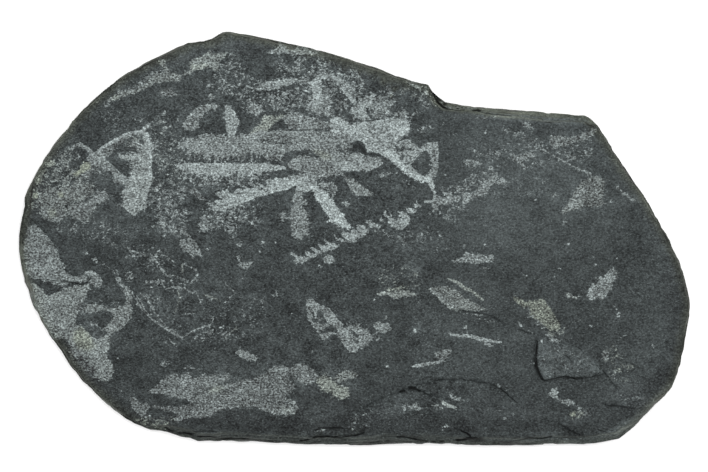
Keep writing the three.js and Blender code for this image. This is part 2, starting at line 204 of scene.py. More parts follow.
FILMS: tuple[Film, ...] = (
    Film("dust below upper branch", 0.5, 0.33, 0.0, 5.0, """212,62 222,58 236,56 242,66 244,74 252,76
    262,84 258,92 262,98 272,100 282,103 285,109 276,110 266,107 262,112 250,112 243,108 240,100 234,94
    228,92 210,88 207,80 216,76 220,70"""),
    Film("dust over arch", 0.5, 0.38, 0.0, 5.0, """280,62 290,66 300,60 312,64 320,60 330,64 345,72
    352,70 360,76 363,86 368,95 378,95 386,90 394,98 390,110 384,114 376,110 368,104 358,100 345,98
    330,98 323,106 312,112 300,106 296,98 304,92 300,82 288,80 278,72"""),
    Film("dust right of left stem", 0.42, 0.31, 0.1, 5.0, """152,122 160,116 168,120 170,128 178,132
    182,140 178,148 184,156 178,164 184,172 190,178 186,186 176,186 166,184 156,188 151,180 153,160
    151,140"""),
    Film("dust middle left", 0.45, 0.43, 0.0, 4.0, """152,188 164,186 178,186 188,188 192,194 186,200
    182,206 188,214 187,224 184,232 174,236 164,236 158,228 160,216 152,208 148,200"""),
    Film("dust under fork", 0.5, 0.54, 0.0, 4.0, """200,228 202,218 206,210 212,204 220,202 228,205
    234,206 238,212 234,220 236,228 232,236 226,228 206,232"""),
    Film("dust right of it", 0.5, 0.42, 0.0, 4.0, "228,204 240,199 248,202 250,212 244,222 234,222"),
    Film("dust further right", 0.5, 0.14, 0.0, 4.0, "250,202 260,198 266,206 262,220 254,230 246,224"),
    Film("dust far left", 0.42, 0.43, 0.15, 3.0, """40,164 54,154 62,150 70,149 73,156 74,166 82,176
    92,180 98,188 106,190 111,196 108,202 99,204 95,210 90,220 80,221 70,216 60,218 48,222 32,206
    29,198 38,176"""),
    Film("far left gap", 0.3, 0.22, 0.0, 2.0, "94,188 110,188 110,200 96,202"),
    Film("dust below far left", 0.32, 0.18, 0.0, 4.0, """45,222 62,220 78,222 82,232 96,222 110,218
    118,226 126,232 128,246 112,250 98,240 84,240 76,236 60,232"""),
    Film("dust over stem foot", 0.4, 0.2, 0.0, 4.0, """96,98 108,100 112,110 124,112 124,128 112,134
    104,122 98,110"""),
    Film("dust loops left", 0.4, 0.12, 0.0, 5.0, """122,240 150,244 172,252 178,268 200,290 190,300
    176,296 160,290 148,284 140,270 124,262"""),
    Film("dust lines left", 0.36, 0.07, 0.0, 5.0, """134,290 160,288 186,292 196,302 200,318 190,332
    176,340 160,330 148,316 138,302"""),
    Film("dust middle", 0.34, 0.09, 0.0, 6.0, """200,296 230,292 262,296 268,310 262,332 240,344
    214,356 200,344 198,318"""),
    Film("dust mid right", 0.32, 0.12, 0.3, 6.0, "372,270 392,264 416,266 424,276 418,290 396,292 378,290"),
    Film("dust centre right", 0.36, 0.12, 0.0, 6.0, "404,222 430,226 452,236 450,252 424,252 408,240"),
    Film("dust upper right", 0.38, 0.22, 0.0, 4.0, """512,130 528,132 542,140 546,150 560,158 586,150
    592,138 596,128 580,132 566,138 556,136 548,146 536,142 522,136"""),
    Film("dust by scratch", 0.42, 0.12, 0.0, 5.0, "468,146 500,142 552,142 556,166 520,170 470,168"),
    Film("dust under scratch", 0.42, 0.08, 0.0, 5.0, "468,172 552,172 552,198 468,198"),
    Film("dust under teeth", 0.42, 0.24, 0.0, 4.0, "432,206 448,202 466,204 468,214 452,222 436,220"),
    Film("dust by notch", 0.45, 0.3, 0.0, 3.0, "412,86 424,88 434,96 438,106 428,108 418,104 410,96"),
    Film("dust lower middle", 0.3, 0.07, 0.0, 5.0, """344,424 352,412 376,404 398,398 420,398 436,402
    440,410 424,418 402,420 384,424 366,430 350,432"""),
    Film("dust right corner", 0.3, 0.15, 0.5, 4.0, """602,342 612,342 630,360 634,372 628,382 616,384
    606,376 602,362"""),
    Film("dust lower right", 0.3, 0.1, 0.0, 5.0, "620,384 640,390 650,402 636,410 620,404 612,394"),
    Film("upper edge film", 0.5, 0.84, 0.0, 1.0, """268,53 279,47 280,41 283,43 289,51 294,50 298,46
    304,47 318,51 323,53 314,55 300,55.5 292,55 283,53 276,54"""),
    Film("upper branch hook", 0.43, 0.88, 0.12, 0.9, """160,60.8 164.4,59 166,62 167.2,66.5 169,69.5
    171.9,72 180.3,74.9 186.8,73 189.6,71 189.6,74 186,75 182,75.3 181.7,81.5 170,82 158,83.6 155,82.6
    150.4,87 146,89.3 138,92.5 112,101.3 104.7,101.8 114,95.4 120.5,91.7 125,91 131,91.4 137,89.5
    142,87 147,83.5 153,75.8 158,73.6 163,73 165.5,71.5 161,64"""),
    Film("upper branch haze", 0.4, 0.56, 0.0, 1.6, """120.5,91.7 128,89 135.5,85.5 143.9,79 150.4,73
    156,70.6 161.6,70 164,72.5 158,74 153,76 147,84 142,87.5 137,90 131,91.8 125,91.4"""),
    Film("upper branch head", 0.46, 0.88, 0.15, 0.9, """189.6,63.7 193,60 206,55 208,52.5 210,51
    213,53.5 228,52.6 225,58.5 220.4,61 219,64 218.6,66.5 221,71 217,72.4 214.8,72 212.5,69.5 210,68.3
    206,68.6 197,70.2 189.6,74"""),
    Film("upper branch bright", 0.62, 0.9, 0.35, 0.9, """190.5,66 194,64.8 198,65.6 203,63.8 208.3,64.5
    207,67.6 203,69 193,70.8 /112.3,97 115,95 119,95.6 120,98.4 116,100.6 112.8,100.4"""),
    Film("upper patch", 0.28, 0.88, 0.0, 1.1, "160,92 165,90 172,89 179,97 172,96 165,97 161,95"),
    Film("upper spot", 0.55, 0.7, 0.0, 1.0, "208,95 212,93 215,97 214,100 210,99"),
    Film("bent film", 0.45, 0.88, 0.0, 1.1, """183,124 187,118 191,115 194,110 199,107 205,105 212,104
    219,105 220,108 212,109 206,111 204,115 200,119 198,123 199,127 194,130 187,130 184,128"""),
    Film("upright film", 0.64, 0.85, 0.0, 1.0, """225,106 228,105 232,107 234,112 240,121 234,137
    229,137 228,132 226,126 226,110"""),
    Film("dust between bands", 0.5, 0.5, 0.0, 2.5, """270,92 286,91 300,88 304,98 298,110 284,112
    272,106 266,98"""),
    Film("dark speckle band", 0.66, 0.88, 0.0, 1.0, """255,88 262,84 268,81.5 274,80.5 280,81 286,79
    292,78.5 297,79.5 296,83 276,89.5 270,91 264,90 258,91"""),
    Film("lower speckle", 0.58, 0.76, 0.0, 1.5, "250,103 257,104 262,111 258,118 252,116 249,110"),
    Film("lower speckle right", 0.5, 0.6, 0.0, 1.5, "268,99 278,101 285,107 278,109 271,106"),
    Film("straw diagonal", 0.58, 0.8, 0.42, 1.5, """250,133 258,126 262,121 264,116 270,115 276,117
    283,114 286,117 280,120 274,124 270,129 260,138 252,138"""),
    Film("arch inside", 0.42, 0.67, 0.0, 1.6, """322,91 332,89 336,92 332,102 332,108 335,112 330,114
    323,111 321,100 /350,113 354,110 357,112 353,114"""),
    Film("arch left", 0.72, 0.88, 0.0, 0.9, """311,111 311,104 312.5,96 312,88 312.5,81 316,77 319,75.5
    320.5,72 323,74 326,75.5 334,78.3 343,82.5 350,88 354.5,92.5 356,98 354.5,104.5 351,102 348,97.5
    343,94 341.5,89 340,86.5 336,85 333,80.5 328,79.5 322,79.5 321,83 322,90 321.5,96 322,104 321.5,110
    317,112.5"""),
    Film("arch top shade", 0.46, 0.62, 0.0, 1.2, "328,76 338,79 348,84 355,92 354,98 346,91 338,85 328,80"),
    Film("arch right haze", 0.52, 0.62, 0.0, 2.0, """366,97 372,93.5 378,95 384,100 389,106 391,113
    387,118 379,119.5 373,117 370,110"""),
    Film("arch foot", 0.6, 0.86, 0.0, 0.9, """350.5,110 353.6,107 357.7,104 362,99 366,97 370,96
    372,93.5 375,95 375,99 371,104 366,108 367,114.5 371,119.6 366,120.5 361.8,120.6 355.6,117.6
    353.6,113.5"""),
    Film("arch base", 0.5, 0.7, 0.0, 1.5, "313,106 322,104 330,108 334,113 330,117 322,116 316,114"),
    Film("above head", 0.5, 0.7, 0.0, 1.5, "393,116 397,111 402,109 406,112 408,117 402,119"),
    Film("small dark by arch", 0.3, 0.5, 0.0, 1.0, """347,113 350,111.5 354.5,113.5 354.5,118.5
    350,118.5 /356.5,93 360,93 361,97 356.5,105 356,99 /324,82 329,80.6 333,82 334.5,87 332,89 326,88
    /334.5,87 338,87 340,89.5 338,91 335,90.5 /337,98 343,97 347,100 348,106 346,111 340,112 336,108
    335,103"""),
    Film("film lobe", 0.43, 0.88, 0.0, 1.2, """280,119 288,114 297,113 305,116 325,121 332,125 330,131
    318,130 305,131 284,129"""),
    Film("dark triangle", 0.0, 0.0, 0.0, 1.0, "269,130 276,124 281,118 284,121 289,129"),
    Film("bright mass", 0.72, 0.92, 0.0, 1.3, """330,121 333,118 337,117 342,118.5 353,124.5 366,122.5
    404,119 408,120.5 410,124 409,129 407,133.5 402,137 398,140.5 394.5,147 398.5,154 403.5,160 420,173
    424,175.5 429,177 433,180 435,188 433,188.5 430,185 427,182.5 424,181 419,181 406,174 398,168
    393,163 389,161 386,158 380,153.5 372,151.5 368,152.5 366,150.5 365,147 362,143 358,141 354,141.5
    352,144 348,142.5 338,137 333,133 330,128"""),
    Film("mass highlights", 0.79, 0.93, 0.0, 2.2, """384,121.5 400,120 405,120 408,122 409,125 408,130
    405,134 400,136 394,135 389,132 385,128 /331,121 334,118.5 338,118 343,120 353,126 356,129
    351,130.5 344,129 333,124"""),
    Film("mass shade", 0.52, 0.86, 0.0, 2.2, """368,127 374,126 376,131 380,134 377,138 372,136 369,132
    /385,131 389,134 394,139 391,142 387,138 /368,141 373,140 378,145 375,149 370,147 /336,132 343,131
    350,133 351,139 344,139 338,136"""),
    Film("mass tail line", 0.6, 0.8, 0.0, 0.8, "426,181 430,182 436,192 434,194"),
    Film("dust beside head", 0.42, 0.28, 0.0, 1.6, "415,132 420,127.5 428,126 434,128 433,132 424,133.5"),
    Film("loop", 0.56, 0.88, 0.0, 1.0, """396,145 399,142 403,140 407,139.8 411,142 419,148 424,144.5
    430,142.5 437,141.5 438,148 438.5,156 437.5,171 435,177 430,178 428,174 431,170 433,165 431,158
    428,153 425,150 421,152 411,165 407,167 403,163 397,155 398,150"""),
    Film("loop side", 0.38, 0.85, 0.0, 1.0, "432,150 437,150 438,160 437,172 433,174 431,168 433,160"),
    Film("loop lines", 0.1, 0.25, 0.0, 0.8, """398,148.5 403,147 409,147.5 414,149.5 414,151 409,149.8
    404,149.8 400,153.5 /399,157.5 402,155.3 405,156 403,159 400,160 /401,163.5 406,163 410,161.5
    408,164 403,165"""),
    Film("loop hole", 0.0, 0.06, 0.0, 1.2, """413,162 416,157.5 420,155 424,154.5 428,158.5 429.5,164
    430,169 428,173 424,176 420,174.5 413,167"""),
    Film("grey body", 0.46, 0.92, 0.0, 1.4, """262,133 272,131 320,131 333,133 352,141 348,150 350,155
    362,158 372,157 380,158 383,163 378,168 366,171 352,171 345,170 340,174 330,176 308,182 298,184
    288,183 280,180 288,177 298,174 300,171 292,170 284,166 284,158 276,153 262,153"""),
    Film("body bright edge", 0.6, 0.85, 0.0, 1.5, """334,163 345,159 356,161 366,160 374,157 381,159
    380,165 370,169 356,171 345,171 337,168"""),
    Film("straw in body", 0.55, 0.85, 0.4, 1.5, "312,150 320,150 328,153 333,158 326,160 318,157"),
    Film("body ledge", 0.56, 0.88, 0.0, 1.0, """350,154 354,153 360,152.5 364,155 363,158 357,159.5
    351,158.5 /376,157 380,157.2 383,159 380,161 376,160"""),
    Film("dark hole", 0.0, 0.02, 0.0, 1.0, """352.5,143.5 356,141 360,141 363,143 366,148 368,153.5
    365,155 361.5,151.5 356,152.3 352.5,150.5 /368,153.5 373,152.8 379,154 384,157 387,160.5 392,162.5
    399,169 394,168 384,162 378,156.8 372,156.5 /336,144 339,145 342,149 344,153 341,153 338,149.5"""),
    Film("hole side", 0.14, 0.5, 0.0, 1.4, "345,146 350,143.5 353,144 353,151 347,151.5"),
    Film("dark wedge", 0.1, 0.12, 0.0, 1.2, """281,157 287,152 300,150 311,150 316,155 322,159 302,155
    294,157 288,163 286,169 292,171 300,170 290,173 282,171 274,166 280,163"""),
    Film("wedge film", 0.45, 0.75, 0.0, 1.5, """262,150 270,149 279,151 285,153 282,158 278,162 270,161
    264,158"""),
    Film("sharp leaf", 0.47, 0.86, 0.05, 0.9, """346,179 350,178 354,180 366,189.5 372,192.5 373,195.5
    369,197 357,195 352,192 347,183"""),
    Film("faint by leaf", 0.45, 0.35, 0.0, 1.5, "336,168 344,171 350,177 346,180 338,174"),
    Film("spots by leaf", 0.45, 0.3, 0.0, 1.5, "376,174 388,171 398,173 396,178 382,178"),
    Film("first branch", 0.5, 0.86, 0.0, 1.2, """178,146 180,143 187,139.5 197,138 201,135 206,134
    212,133.5 218,134 226,137 229,137 237,136 247,133.5 252,134 256,132 262,130 266,132 268,138 270,147
    268,151 259,152.5 256,155 253,153 251,156 249,152.5 246,154.5 244,160 242,155 239.5,161 236,156
    233,160 231,155.5 228,160 225,156 222,159 219.5,156 218.5,162 216,157 213,153.5 211,159 207,159
    205,155 201,154 197,157 192,150 190,161 188,154 188,149 184,148 180,148.5"""),
    Film("second branch", 0.74, 0.92, 0.0, 1.0, """176,165 179,164 200,162.5 207,163.5 222,163.5
    238,164.5 252,163 258,164.5 274,164.5 281,165.5 287,169 272,171.5 264,171 262,173 266,180 262,178
    258,174 254,173.5 251,175 249,179 246,175 243,172.5 240,175 237,171.5 233,173 230,177 227,179
    224,175 221,174.5 218,179 215,176 211,175 208,179 201,174 198,176 196,181 193,176 190,177 188,171.5
    180,170 177,168"""),
    Film("under second branch", 0.45, 0.38, 0.0, 2.0, """180,170 200,174 220,177 240,176 262,174
    274,172 268,180 256,184 244,186 236,184 224,190 214,186 206,190 196,184 184,178"""),
    Film("third branch", 0.72, 0.94, 0.0, 1.0, """213,210 217,203 213,201 223,199.5 218,197 215,193
    220,191.5 225,191 228,188 229,193 233,194 236,190 240,187.5 243,190 247,188.5 250,189.5 254,187
    258,187.5 262,190 265,187 268,183 272,182 276,178.5 282,177.5 312,182 308,184.5 296,185.5 292,187.5
    284,190.5 278,191 272,192.5 268,194.5 251,198 247,200.5 238,204.5 233,207.5 215,211.5"""),
    Film("fork shoulder", 0.74, 0.95, 0.0, 1.2, "296,186 302,180 310,181 318,184 312,190 304,192 297,190"),
    Film("left arm of fork", 0.46, 0.9, 0.0, 1.0, """295,192 300,190.5 304,190 302,197 304,200 308,203
    306,205 302,204.5 307,213 310,217 305,216 306,220 309,222.5 308.5,230 306,231 308,234 303,236
    304,239 300,240.5 293,238 291.5,234 293,231.5 291,229 290.5,225 291.5,221 290,217 292.5,207 294,203
    291,201 294,197"""),
    Film("right arm of fork", 0.86, 0.96, 0.0, 1.1, """304,184 307,182.5 310,183 323.5,190 327.5,194
    343,214.7 346,220.5 351,226.5 349,229.5 346,228.5 339.5,223.5 336,221.5 333,222.8 329,222 328.5,220
    330.5,218.5 322.5,208 316,197.5 314,193 311,189.5 306,188"""),
    Film("fork joint", 0.66, 0.88, 0.0, 1.2, "292,178 300,176 312,178 318,183 312,185.5 295,183"),
    Film("fork foot", 0.5, 0.5, 0.0, 1.5, "333,223 337,222.5 341,225 346,229.5 343,231 334.5,226.5"),
    Film("specks by fork", 0.5, 0.5, 0.0, 1.5, "318,184 326,181 334,182 337,188 334,196 326,192 320,190"),
    Film("dark under third", 0.0, 0.04, 0.0, 1.2, "272,195 280,192 289,191 291,196 286,200 276,201"),
    Film("squiggle", 0.5, 0.5, 0.0, 1.2, "277,219 280,214 287,211 290,214 285,216 290,218 283,222"),
    Film("left hoop", 0.38, 0.88, 0.0, 0.9, """70.5,150 73,146 77,143 81,143.3 90,148.3 97,153.5 94,156
    86,150 82,147.8 78,146.8 75,148.6 73,152"""),
    Film("left fork haze", 0.3, 0.4, 0.0, 1.6, """91,160 98,160 104,161 112,172 113,180 101,176 95,173
    91,168"""),
    Film("left fork arm", 0.48, 0.88, 0.0, 0.9, """95,153 99,149.5 107,143.8 111,141.2 119,137.3
    123,134.6 131,131.6 135,131.2 139,131.5 142,129.5 148,123.2 150.5,124.8 146.5,131 147,135 143,135.5
    135,134.8 132,136.5 131.5,139.5 119.5,144.5 109,156.5 106,157 103,159 98,158 /87,158 91,154
    96,152.5 101,153.5 113.8,166.8 126,176.8 128,180 126,184 121,184.3 116,183 112,180 105,171.5
    101,168 93,165 89,162"""),
    Film("left fork shade", 0.24, 0.8, 0.0, 1.4, """104,150 108,146.8 113,143.8 122,141.5 130,137
    131,139.5 120,144.5 111,154 107,155.5"""),
    Film("left fork gap", 0.0, 0.1, 0.0, 1.6, "104,170 112,172 114,180 108,180 101,176"),
    Film("left fork node", 0.8, 0.9, 0.0, 1.0, "93,153 97,152 102,154 106,158 102,160 96,159 92,157"),
    Film("left fork bit", 0.45, 0.7, 0.0, 1.2, "84,174 88,168 92,164 95,168 93,174 90,180 86,182"),
    Film("left fork gap haze", 0.35, 0.3, 0.2, 2.0, """124,140 132,136 140,136 145,142 142,150 134,152
    126,148"""),
    Film("left fork stem", 0.63, 0.92, 0.05, 1.4, """145,133 143,139 145,146 141,152 133,155 120,156
    121,159 131,161 134,165 133,170 129,182 125,188 122,194 124,200 122,206 127,211 132,214 133,217
    139,212 146,208 146,203 147,197 151,187 152,180 150,172 151,164 153,157 151,150 150,143 148,137"""),
    Film("stem spikes", 0.5, 0.5, 0.0, 1.5, "151,140 158,141 160,146 154,150 151,148"),
    Film("left dull patch", 0.37, 0.88, 0.0, 1.1, """68,206 78,203 88,203 96,196 104,190 110,195
    107,201 97,203 94,210 88,219 80,220 71,215"""),
    Film("left dull patch two", 0.33, 0.86, 0.1, 1.1, """40,196 48,188 60,190 70,186 78,180 90,184
    96,192 84,200 70,202 58,210 48,214 40,206"""),
    Film("left dull patch three", 0.36, 0.85, 0.0, 1.3, "42,208 52,206 62,208 66,214 62,220 52,222 44,216"),
    Film("straw patch", 0.58, 0.95, 0.9, 1.2, """78,171 82,166 87,162 91,163 91,169 80,174 /74,174
    78,171 81,173 79,176 75,176.5"""),
    Film("straw spot one", 0.5, 0.8, 0.8, 1.2, "33,193 38,192 39,198 34,199"),
    Film("straw spot two", 0.52, 0.8, 0.8, 1.2, "58,193 63,192 65,197 60,198"),
    Film("straw spot three", 0.48, 0.7, 0.5, 1.2, "46,164 52,161 57,163 54,167 48,168"),
    Film("straw spot four", 0.48, 0.7, 0.6, 1.2, "36,179 41,178 41,184 37,184"),
    Film("straw spot five", 0.42, 0.7, 0.5, 1.5, "48,210 56,208 58,216 50,218"),
    Film("dark left", 0.0, 0.03, 0.0, 1.5, "98,178 105,175 112,180 110,187 102,190 95,185"),
    Film("left small one", 0.45, 0.6, 0.0, 1.2, "73,222 78,224 77,230 80,234 76,234 73,228"),
    Film("scar film", 0.4, 0.88, 0.0, 1.1, """27,228 32,226 37,225 42,229 56,246 59,251 63,265 67,271
    73,276 80,276 86,272 92,271 98,274 102,278 103,285 98,288 92,285 88,282 78,282 70,280 60,281 45,279
    32,278 27,274 25,262 24,252 25,244 27,237"""),
    Film("scar film bright band", 0.53, 0.85, 0.0, 1.2, """72,277 80,277 86,272 93,271 99,275 103,281
    100,286 93,284 88,280 80,282 73,281"""),
    Film("scar lower glow", 0.5, 0.9, 0.0, 2.0, "40,268 52,262 62,264 68,272 74,278 70,284 56,283 44,280"),
    Film("lower left film", 0.44, 0.88, 0.06, 1.1, """26,284 34,286 45,295 50,296 57,292 74,286 88,284
    91,286 89,291 83,301 82,306 79,311 77,317 76,322 80,326 86,330 92,336 98,339 104,336 110,334
    112,340 110,347 107,353 109,358 113,364 115,371 111,378 106,381 99,380 95,376 92,371 86,367 82,363
    79,357 73,352 68,347 63,341 57,338 50,339 40,330 30,310 24,292"""),
    Film("lower left rim", 0.42, 0.95, 0.1, 1.4, "24,280 32,282 44,290 48,300 44,312 36,306 28,294"),
    Film("lower left straw", 0.5, 0.88, 0.75, 2.4, """75,331 82,327 88,332 93,340 95,347 88,350 79,348
    74,339"""),
    Film("lower left dark one", 0.0, 0.15, 0.0, 1.5, "58,340 64,337 69,341 73,346 70,350 59,344"),
    Film("lower left dark two", 0.16, 0.7, 0.0, 2.2, """70,350 78,350 84,355 97,370 96,377 80,365
    74,357 /80,300 86,306 82,312 76,308"""),
    Film("ring film", 0.44, 0.88, 0.04, 1.1, """88,304 94,303 100,304 112,308 119,308 124,306 127,301
    126,295 122,291 127,288 132,291 133,298 132,305 133,313 131,319 127,324 122,329 116,332 109,334
    104,330 107,325 112,320 115,316 112,312 104,310 96,312 88,313 83,309"""),
    Film("ring inner speck", 0.4, 0.5, 0.0, 1.2, "112,303 118,300 120,305 114,308"),
    Film("ring lower speck", 0.45, 0.6, 0.0, 1.2, "92,322 98,323 97,326 92,325"),
    Film("spot ring", 0.42, 0.5, 0.0, 1.2, "124,276 127,272 132,272 135,277 131,281 126,280"),
    Film("streak by ring", 0.48, 0.55, 0.0, 1.0, "113,271 117,270 120,277 123,282 128,287 124,288 119,284"),
    Film("curl film", 0.37, 0.88, 0.0, 1.1, """181,231 186,230 190,236 195,241 201,253 202,257 197,255
    193,259 188,252 182,249 178,244 184,241 188,243 190,242 186,236"""),
    Film("curl tail", 0.33, 0.88, 0.0, 1.0, "189,190 196,188 201,194 206,199 203,201 197,198 192,194"),
    Film("small bat film", 0.45, 0.85, 0.0, 1.0, "239,263 244,263 255,261 251,266 247,269 241,268"),
    Film("small bat spot", 0.5, 0.7, 0.0, 1.0, "237,256 241,256 240,261 238,260"),
    Film("tiny fuzzy", 0.4, 0.35, 0.0, 2.0, "254,299 262,297 267,305 260,307"),
    Film("bottom film left", 0.36, 0.82, 0.0, 1.1, """150,391 156,387 161,381 166,377 171,374 176,373
    181,376 186,372 190,372 194,378 203,375 220,375 229,374 230,379 222,383 214,386 194,402 180,397
    160,393 152,392"""),
    Film("bottom film main", 0.31, 0.78, 0.0, 1.1, """197,396 206,391 215,387 231,381.4 247.5,378.8
    255,377 267,372 270,368.3 276,366.4 284,365 288,367 291,373 290,379 294,384 295,387 290,392
    286.5,394.5 285,397 295,402 299,404.5 299,409.5 296,412.5 291,414.5 282.5,415 272.5,413.2 260,409
    257,407 250,406.5 227.5,408 214,413 210,415.5 205,417 194,416.7 178,421.5 174,419 177,414
    172.5,411.2 157.5,408.2 150,407.3 149,405.8 157.5,405 172.5,406.8 187.5,404 193,400.5"""),
    Film("bottom film bright", 0.52, 0.85, 0.15, 1.5, "280,406 287,404 292,407 292,413 285,413"),
    Film("bottom straw", 0.33, 0.85, 0.35, 2.0, "208,388 216,384 224,387 220,392 210,393"),
    Film("bottom film right", 0.38, 0.86, 0.0, 1.1, """269,371 274,367 283,366 291,367 297,364 302,363
    308,365.5 313,369 317,373 318.5,377 314,380 311,384 306,384 301,382 296,381 292,378 290,374 284,372
    276,372"""),
    Film("bottom film gap", 0.3, 0.45, 0.0, 1.5, "288,371 295,372 299,376 298,381 291,380 287,376"),
    Film("bottom lobe gap", 0.2, 0.4, 0.0, 1.2, "284,401 290,402 295,405 296,408 291,406 286,407 283,404"),
    Film("bottom tip", 0.5, 0.75, 0.45, 1.5, """318,377 324,374 341,386 348,388 350,393 347,398 341,399
    334,396 328,392 322,392 320,386 316,383"""),
    Film("bottom tip upper", 0.4, 0.88, 0.15, 1.1, """333,378 340,372 346,370 352,371 358,373 358,377
    350,378 344,381 338,383"""),
    Film("bottom far left", 0.3, 0.88, 0.0, 1.1, """130,398 134,396 139,402 150,404 150,408 146,412
    150,416 146,418 140,415 135,410 132,405"""),
    Film("bottom olive", 0.36, 0.45, 0.5, 2.5, """136,420 145,418 155,420 165,419 174,416 176,422
    168,428 160,430 150,430 143,427"""),
    Film("small fish film", 0.5, 0.9, 0.0, 1.0, "235,352 240,349 246,351 259,357 256,360 248,360 241,357"),
    Film("little dash", 0.5, 0.5, 0.0, 1.0, "160,364 166,361 171,361 167,366 162,367"),
    Film("toothed tail", 0.61, 0.82, 0.0, 0.9, """288.5,252.5 294,253 299,256 305,256.5 311,258.3
    304,262 301.5,264 299,262 296,264 294,260 297,257.5 /303.3,249.5 311,253 313,253 318,254.5
    314,257.6 309,256.5 306,254.3 /309.5,246 313,248 321,250.5 322,253.6 317,253.4 314,251 /317,242
    326.5,247.5 325,249.8 321,249.8 /323,237.5 326,240.5 329,242 335,243.3 338.5,245 337,248 330,249.6
    325,248.6 327,245 /332.5,233.5 336,236 337.5,238 341,238 345,240 351,241 356,240 359.5,238.6
    356,241.8 350,242.8 342,241.8 337.5,240.3 334.5,237.5"""),
    Film("toothed second", 0.67, 0.9, 0.0, 0.9, """341.5,233.5 345,232 349,232.5 353,234.5 357,237.3
    355.5,240 351,240.3 347,239.4 343.5,237 /350,230.5 353.5,229.5 357,231 360,235 358.5,238 354.5,236
    351,233 /355.5,224 364,225.5 366,228 369.5,229 368,232.5 364,236.3 360.5,236 359,232.5 356.5,229.6
    358,227.5"""),
    Film("toothed third", 0.6, 0.84, 0.0, 0.9, """364.5,220.5 369,220.5 375,223 378,225.5 381.5,225.3
    379,228.3 374,228.7 370,226.6 /376.5,218 380.5,218 383,220 384.5,222.8 380.5,221.8"""),
    Film("toothed head", 0.59, 0.9, 0.0, 0.9, """386.7,208 385.6,211.5 386.3,214.5 390,216.5 392,218.5
    397,219.3 400.5,217.5 404,219.3 408.5,219.3 409,222.5 406,226.3 402,229.8 397,229.3 392,226.6
    388,222.3 389,218.6 384,216.3 384,212.3 /389.5,211.5 391.5,213.5 392,217 389.8,215.5 /397.5,211
    405,213.3 408,215 410.3,218 409,221 401,216.8 398.4,216.3 399.3,213.6"""),
    Film("toothed neck", 0.62, 0.82, 0.0, 0.9, "404,207 414,208.8 416.5,210.5 414,213.8 410.5,214.3"),
    Film("toothed bright bit", 0.62, 0.88, 0.0, 0.9, """412.5,203 416,203.5 422.5,205.5 421.5,207.8
    418,207.2 415,208.3 413.3,205.6 /423.5,200.3 428,199.8 433.5,201.3 430,203.6 426.3,203.8"""),
    Film("toothed shadow row", 0.42, 0.4, 0.0, 1.2, """374,229 382,230 397,234 408,236 400,240 393,239
    388,236 374,232"""),
    Film("toothed upper one", 0.46, 0.86, 0.0, 0.9, """439.5,190.5 448,193.3 451.5,194 449,196.3
    444.5,195 /433,195.6 437,195.3 441,197.3 444,198 449,194.3 461.5,196.4 460,199.3 458,201.8
    454,201.3 450,203.3 446,204.6 440,204.6 437.6,207.2 436.6,211 433,211.3 431.6,205 /449.5,187.8
    453,188.3 464,192.6 460.5,193.8 456,192.6 452.3,191 /458.6,183.3 461,184.3 463,186.8 467.3,187.8
    465,190.3 461.8,189.6 460,187 /466.6,180.3 470.3,184 473.3,184 476.3,183.3 479.5,181.8 478,185.3
    474,186.8 469.8,186.3 /475.5,182 478,179 481,177 480,181 /462,193 467,192.3 471,194.3 475,192.6
    477,189 479.3,187 480,184.3 483,182.3 484,179.3 487,177 488.6,173.3 491,173.8 494,175.5 496.3,172.2
    498,176 497,179.6 494,182 497,181.6 501.6,177.3 506.5,181.3 499,184.8 495,184.2 491,185.2 488,190.6
    487.5,193.8 484,193.8 480,195.8 472,198.7 467.5,203.3 464.5,205 461.4,202.6 462.5,199.6"""),
    Film("toothed mid shade", 0.42, 0.5, 0.0, 1.5, """440,190 452,186 466,178 480,172 492,166 496,172
    484,182 470,190 456,194 446,192"""),
    Film("blob under tail", 0.55, 0.88, 0.0, 0.9, "323,259 327,254 333,256 335,260 330,264 324,262"),
    Film("smear", 0.36, 0.45, 0.0, 1.2, "402,240 406,240 406,247 403,247"),
    Film("bird film", 0.52, 0.8, 0.2, 1.0, """376,293 384,292 392,292 398,290 403,289 414,293 418,296
    412,296 406,295 397,299 386,295 378,295"""),
    Film("bird halo", 0.36, 0.4, 0.6, 2.0, "386,291 396,286 404,284 412,290 404,290 396,291"),
    Film("small upper right one", 0.42, 0.62, 0.0, 1.5, "464,164 468,159 478,160 484,163 480,168 470,170"),
    Film("small upper right two", 0.42, 0.56, 0.0, 1.5, "490,152 497,150 502,154 498,160 490,158"),
    Film("small upper right three", 0.42, 0.88, 0.0, 1.1, """511,158 515,156 526,152.8 533,152.3
    536,154.5 533,157 522,160 524,165 526,168.5 522,168 518,163 513,161"""),
    Film("small upper right four", 0.44, 0.45, 0.0, 1.5, "520,121 526,121 534,126 532,130 524,127"),
    Film("feather film one", 0.33, 0.84, 0.05, 1.1, """549,141 551,136 556,135 562,136 567,138 573,137
    588,131 595,126.5 598,129 592,135 584,140 577,142.5 568,144 564,147.5 556,147.5 550,146"""),
    Film("feather film two", 0.4, 0.5, 0.0, 2.0, "566,155 576,151 586,152 592,148 590,156 580,160 568,159"),
    Film("feather film three", 0.38, 0.5, 0.0, 2.0, """503,128 512,129.5 521,133 540,144 549,151
    544,152 513,136"""),
    Film("dull triangle", 0.27, 0.88, 0.08, 1.2, """561,213.5 565,207 569,202 577,187 580,183 586,179
    592,176.5 600,177.5 605,181 604,190 602,198 603,204 600,207 594,206 590,208 585,206 580,209.5
    575,208 570,211"""),
    Film("dull triangle edge", 0.4, 0.9, 0.1, 1.4, """561,213.5 565,207 569,202 577,187 580,184.5
    583,188 581,195 581,202 583,206.5 578,208.5 573,209 569,211.5"""),
    Film("tiny one", 0.45, 0.5, 0.0, 1.2, "549,195 555,193 558,197 552,199"),
    Film("tiny two", 0.5, 0.6, 0.0, 1.0, "561,224 565,219 567,221 563,226"),
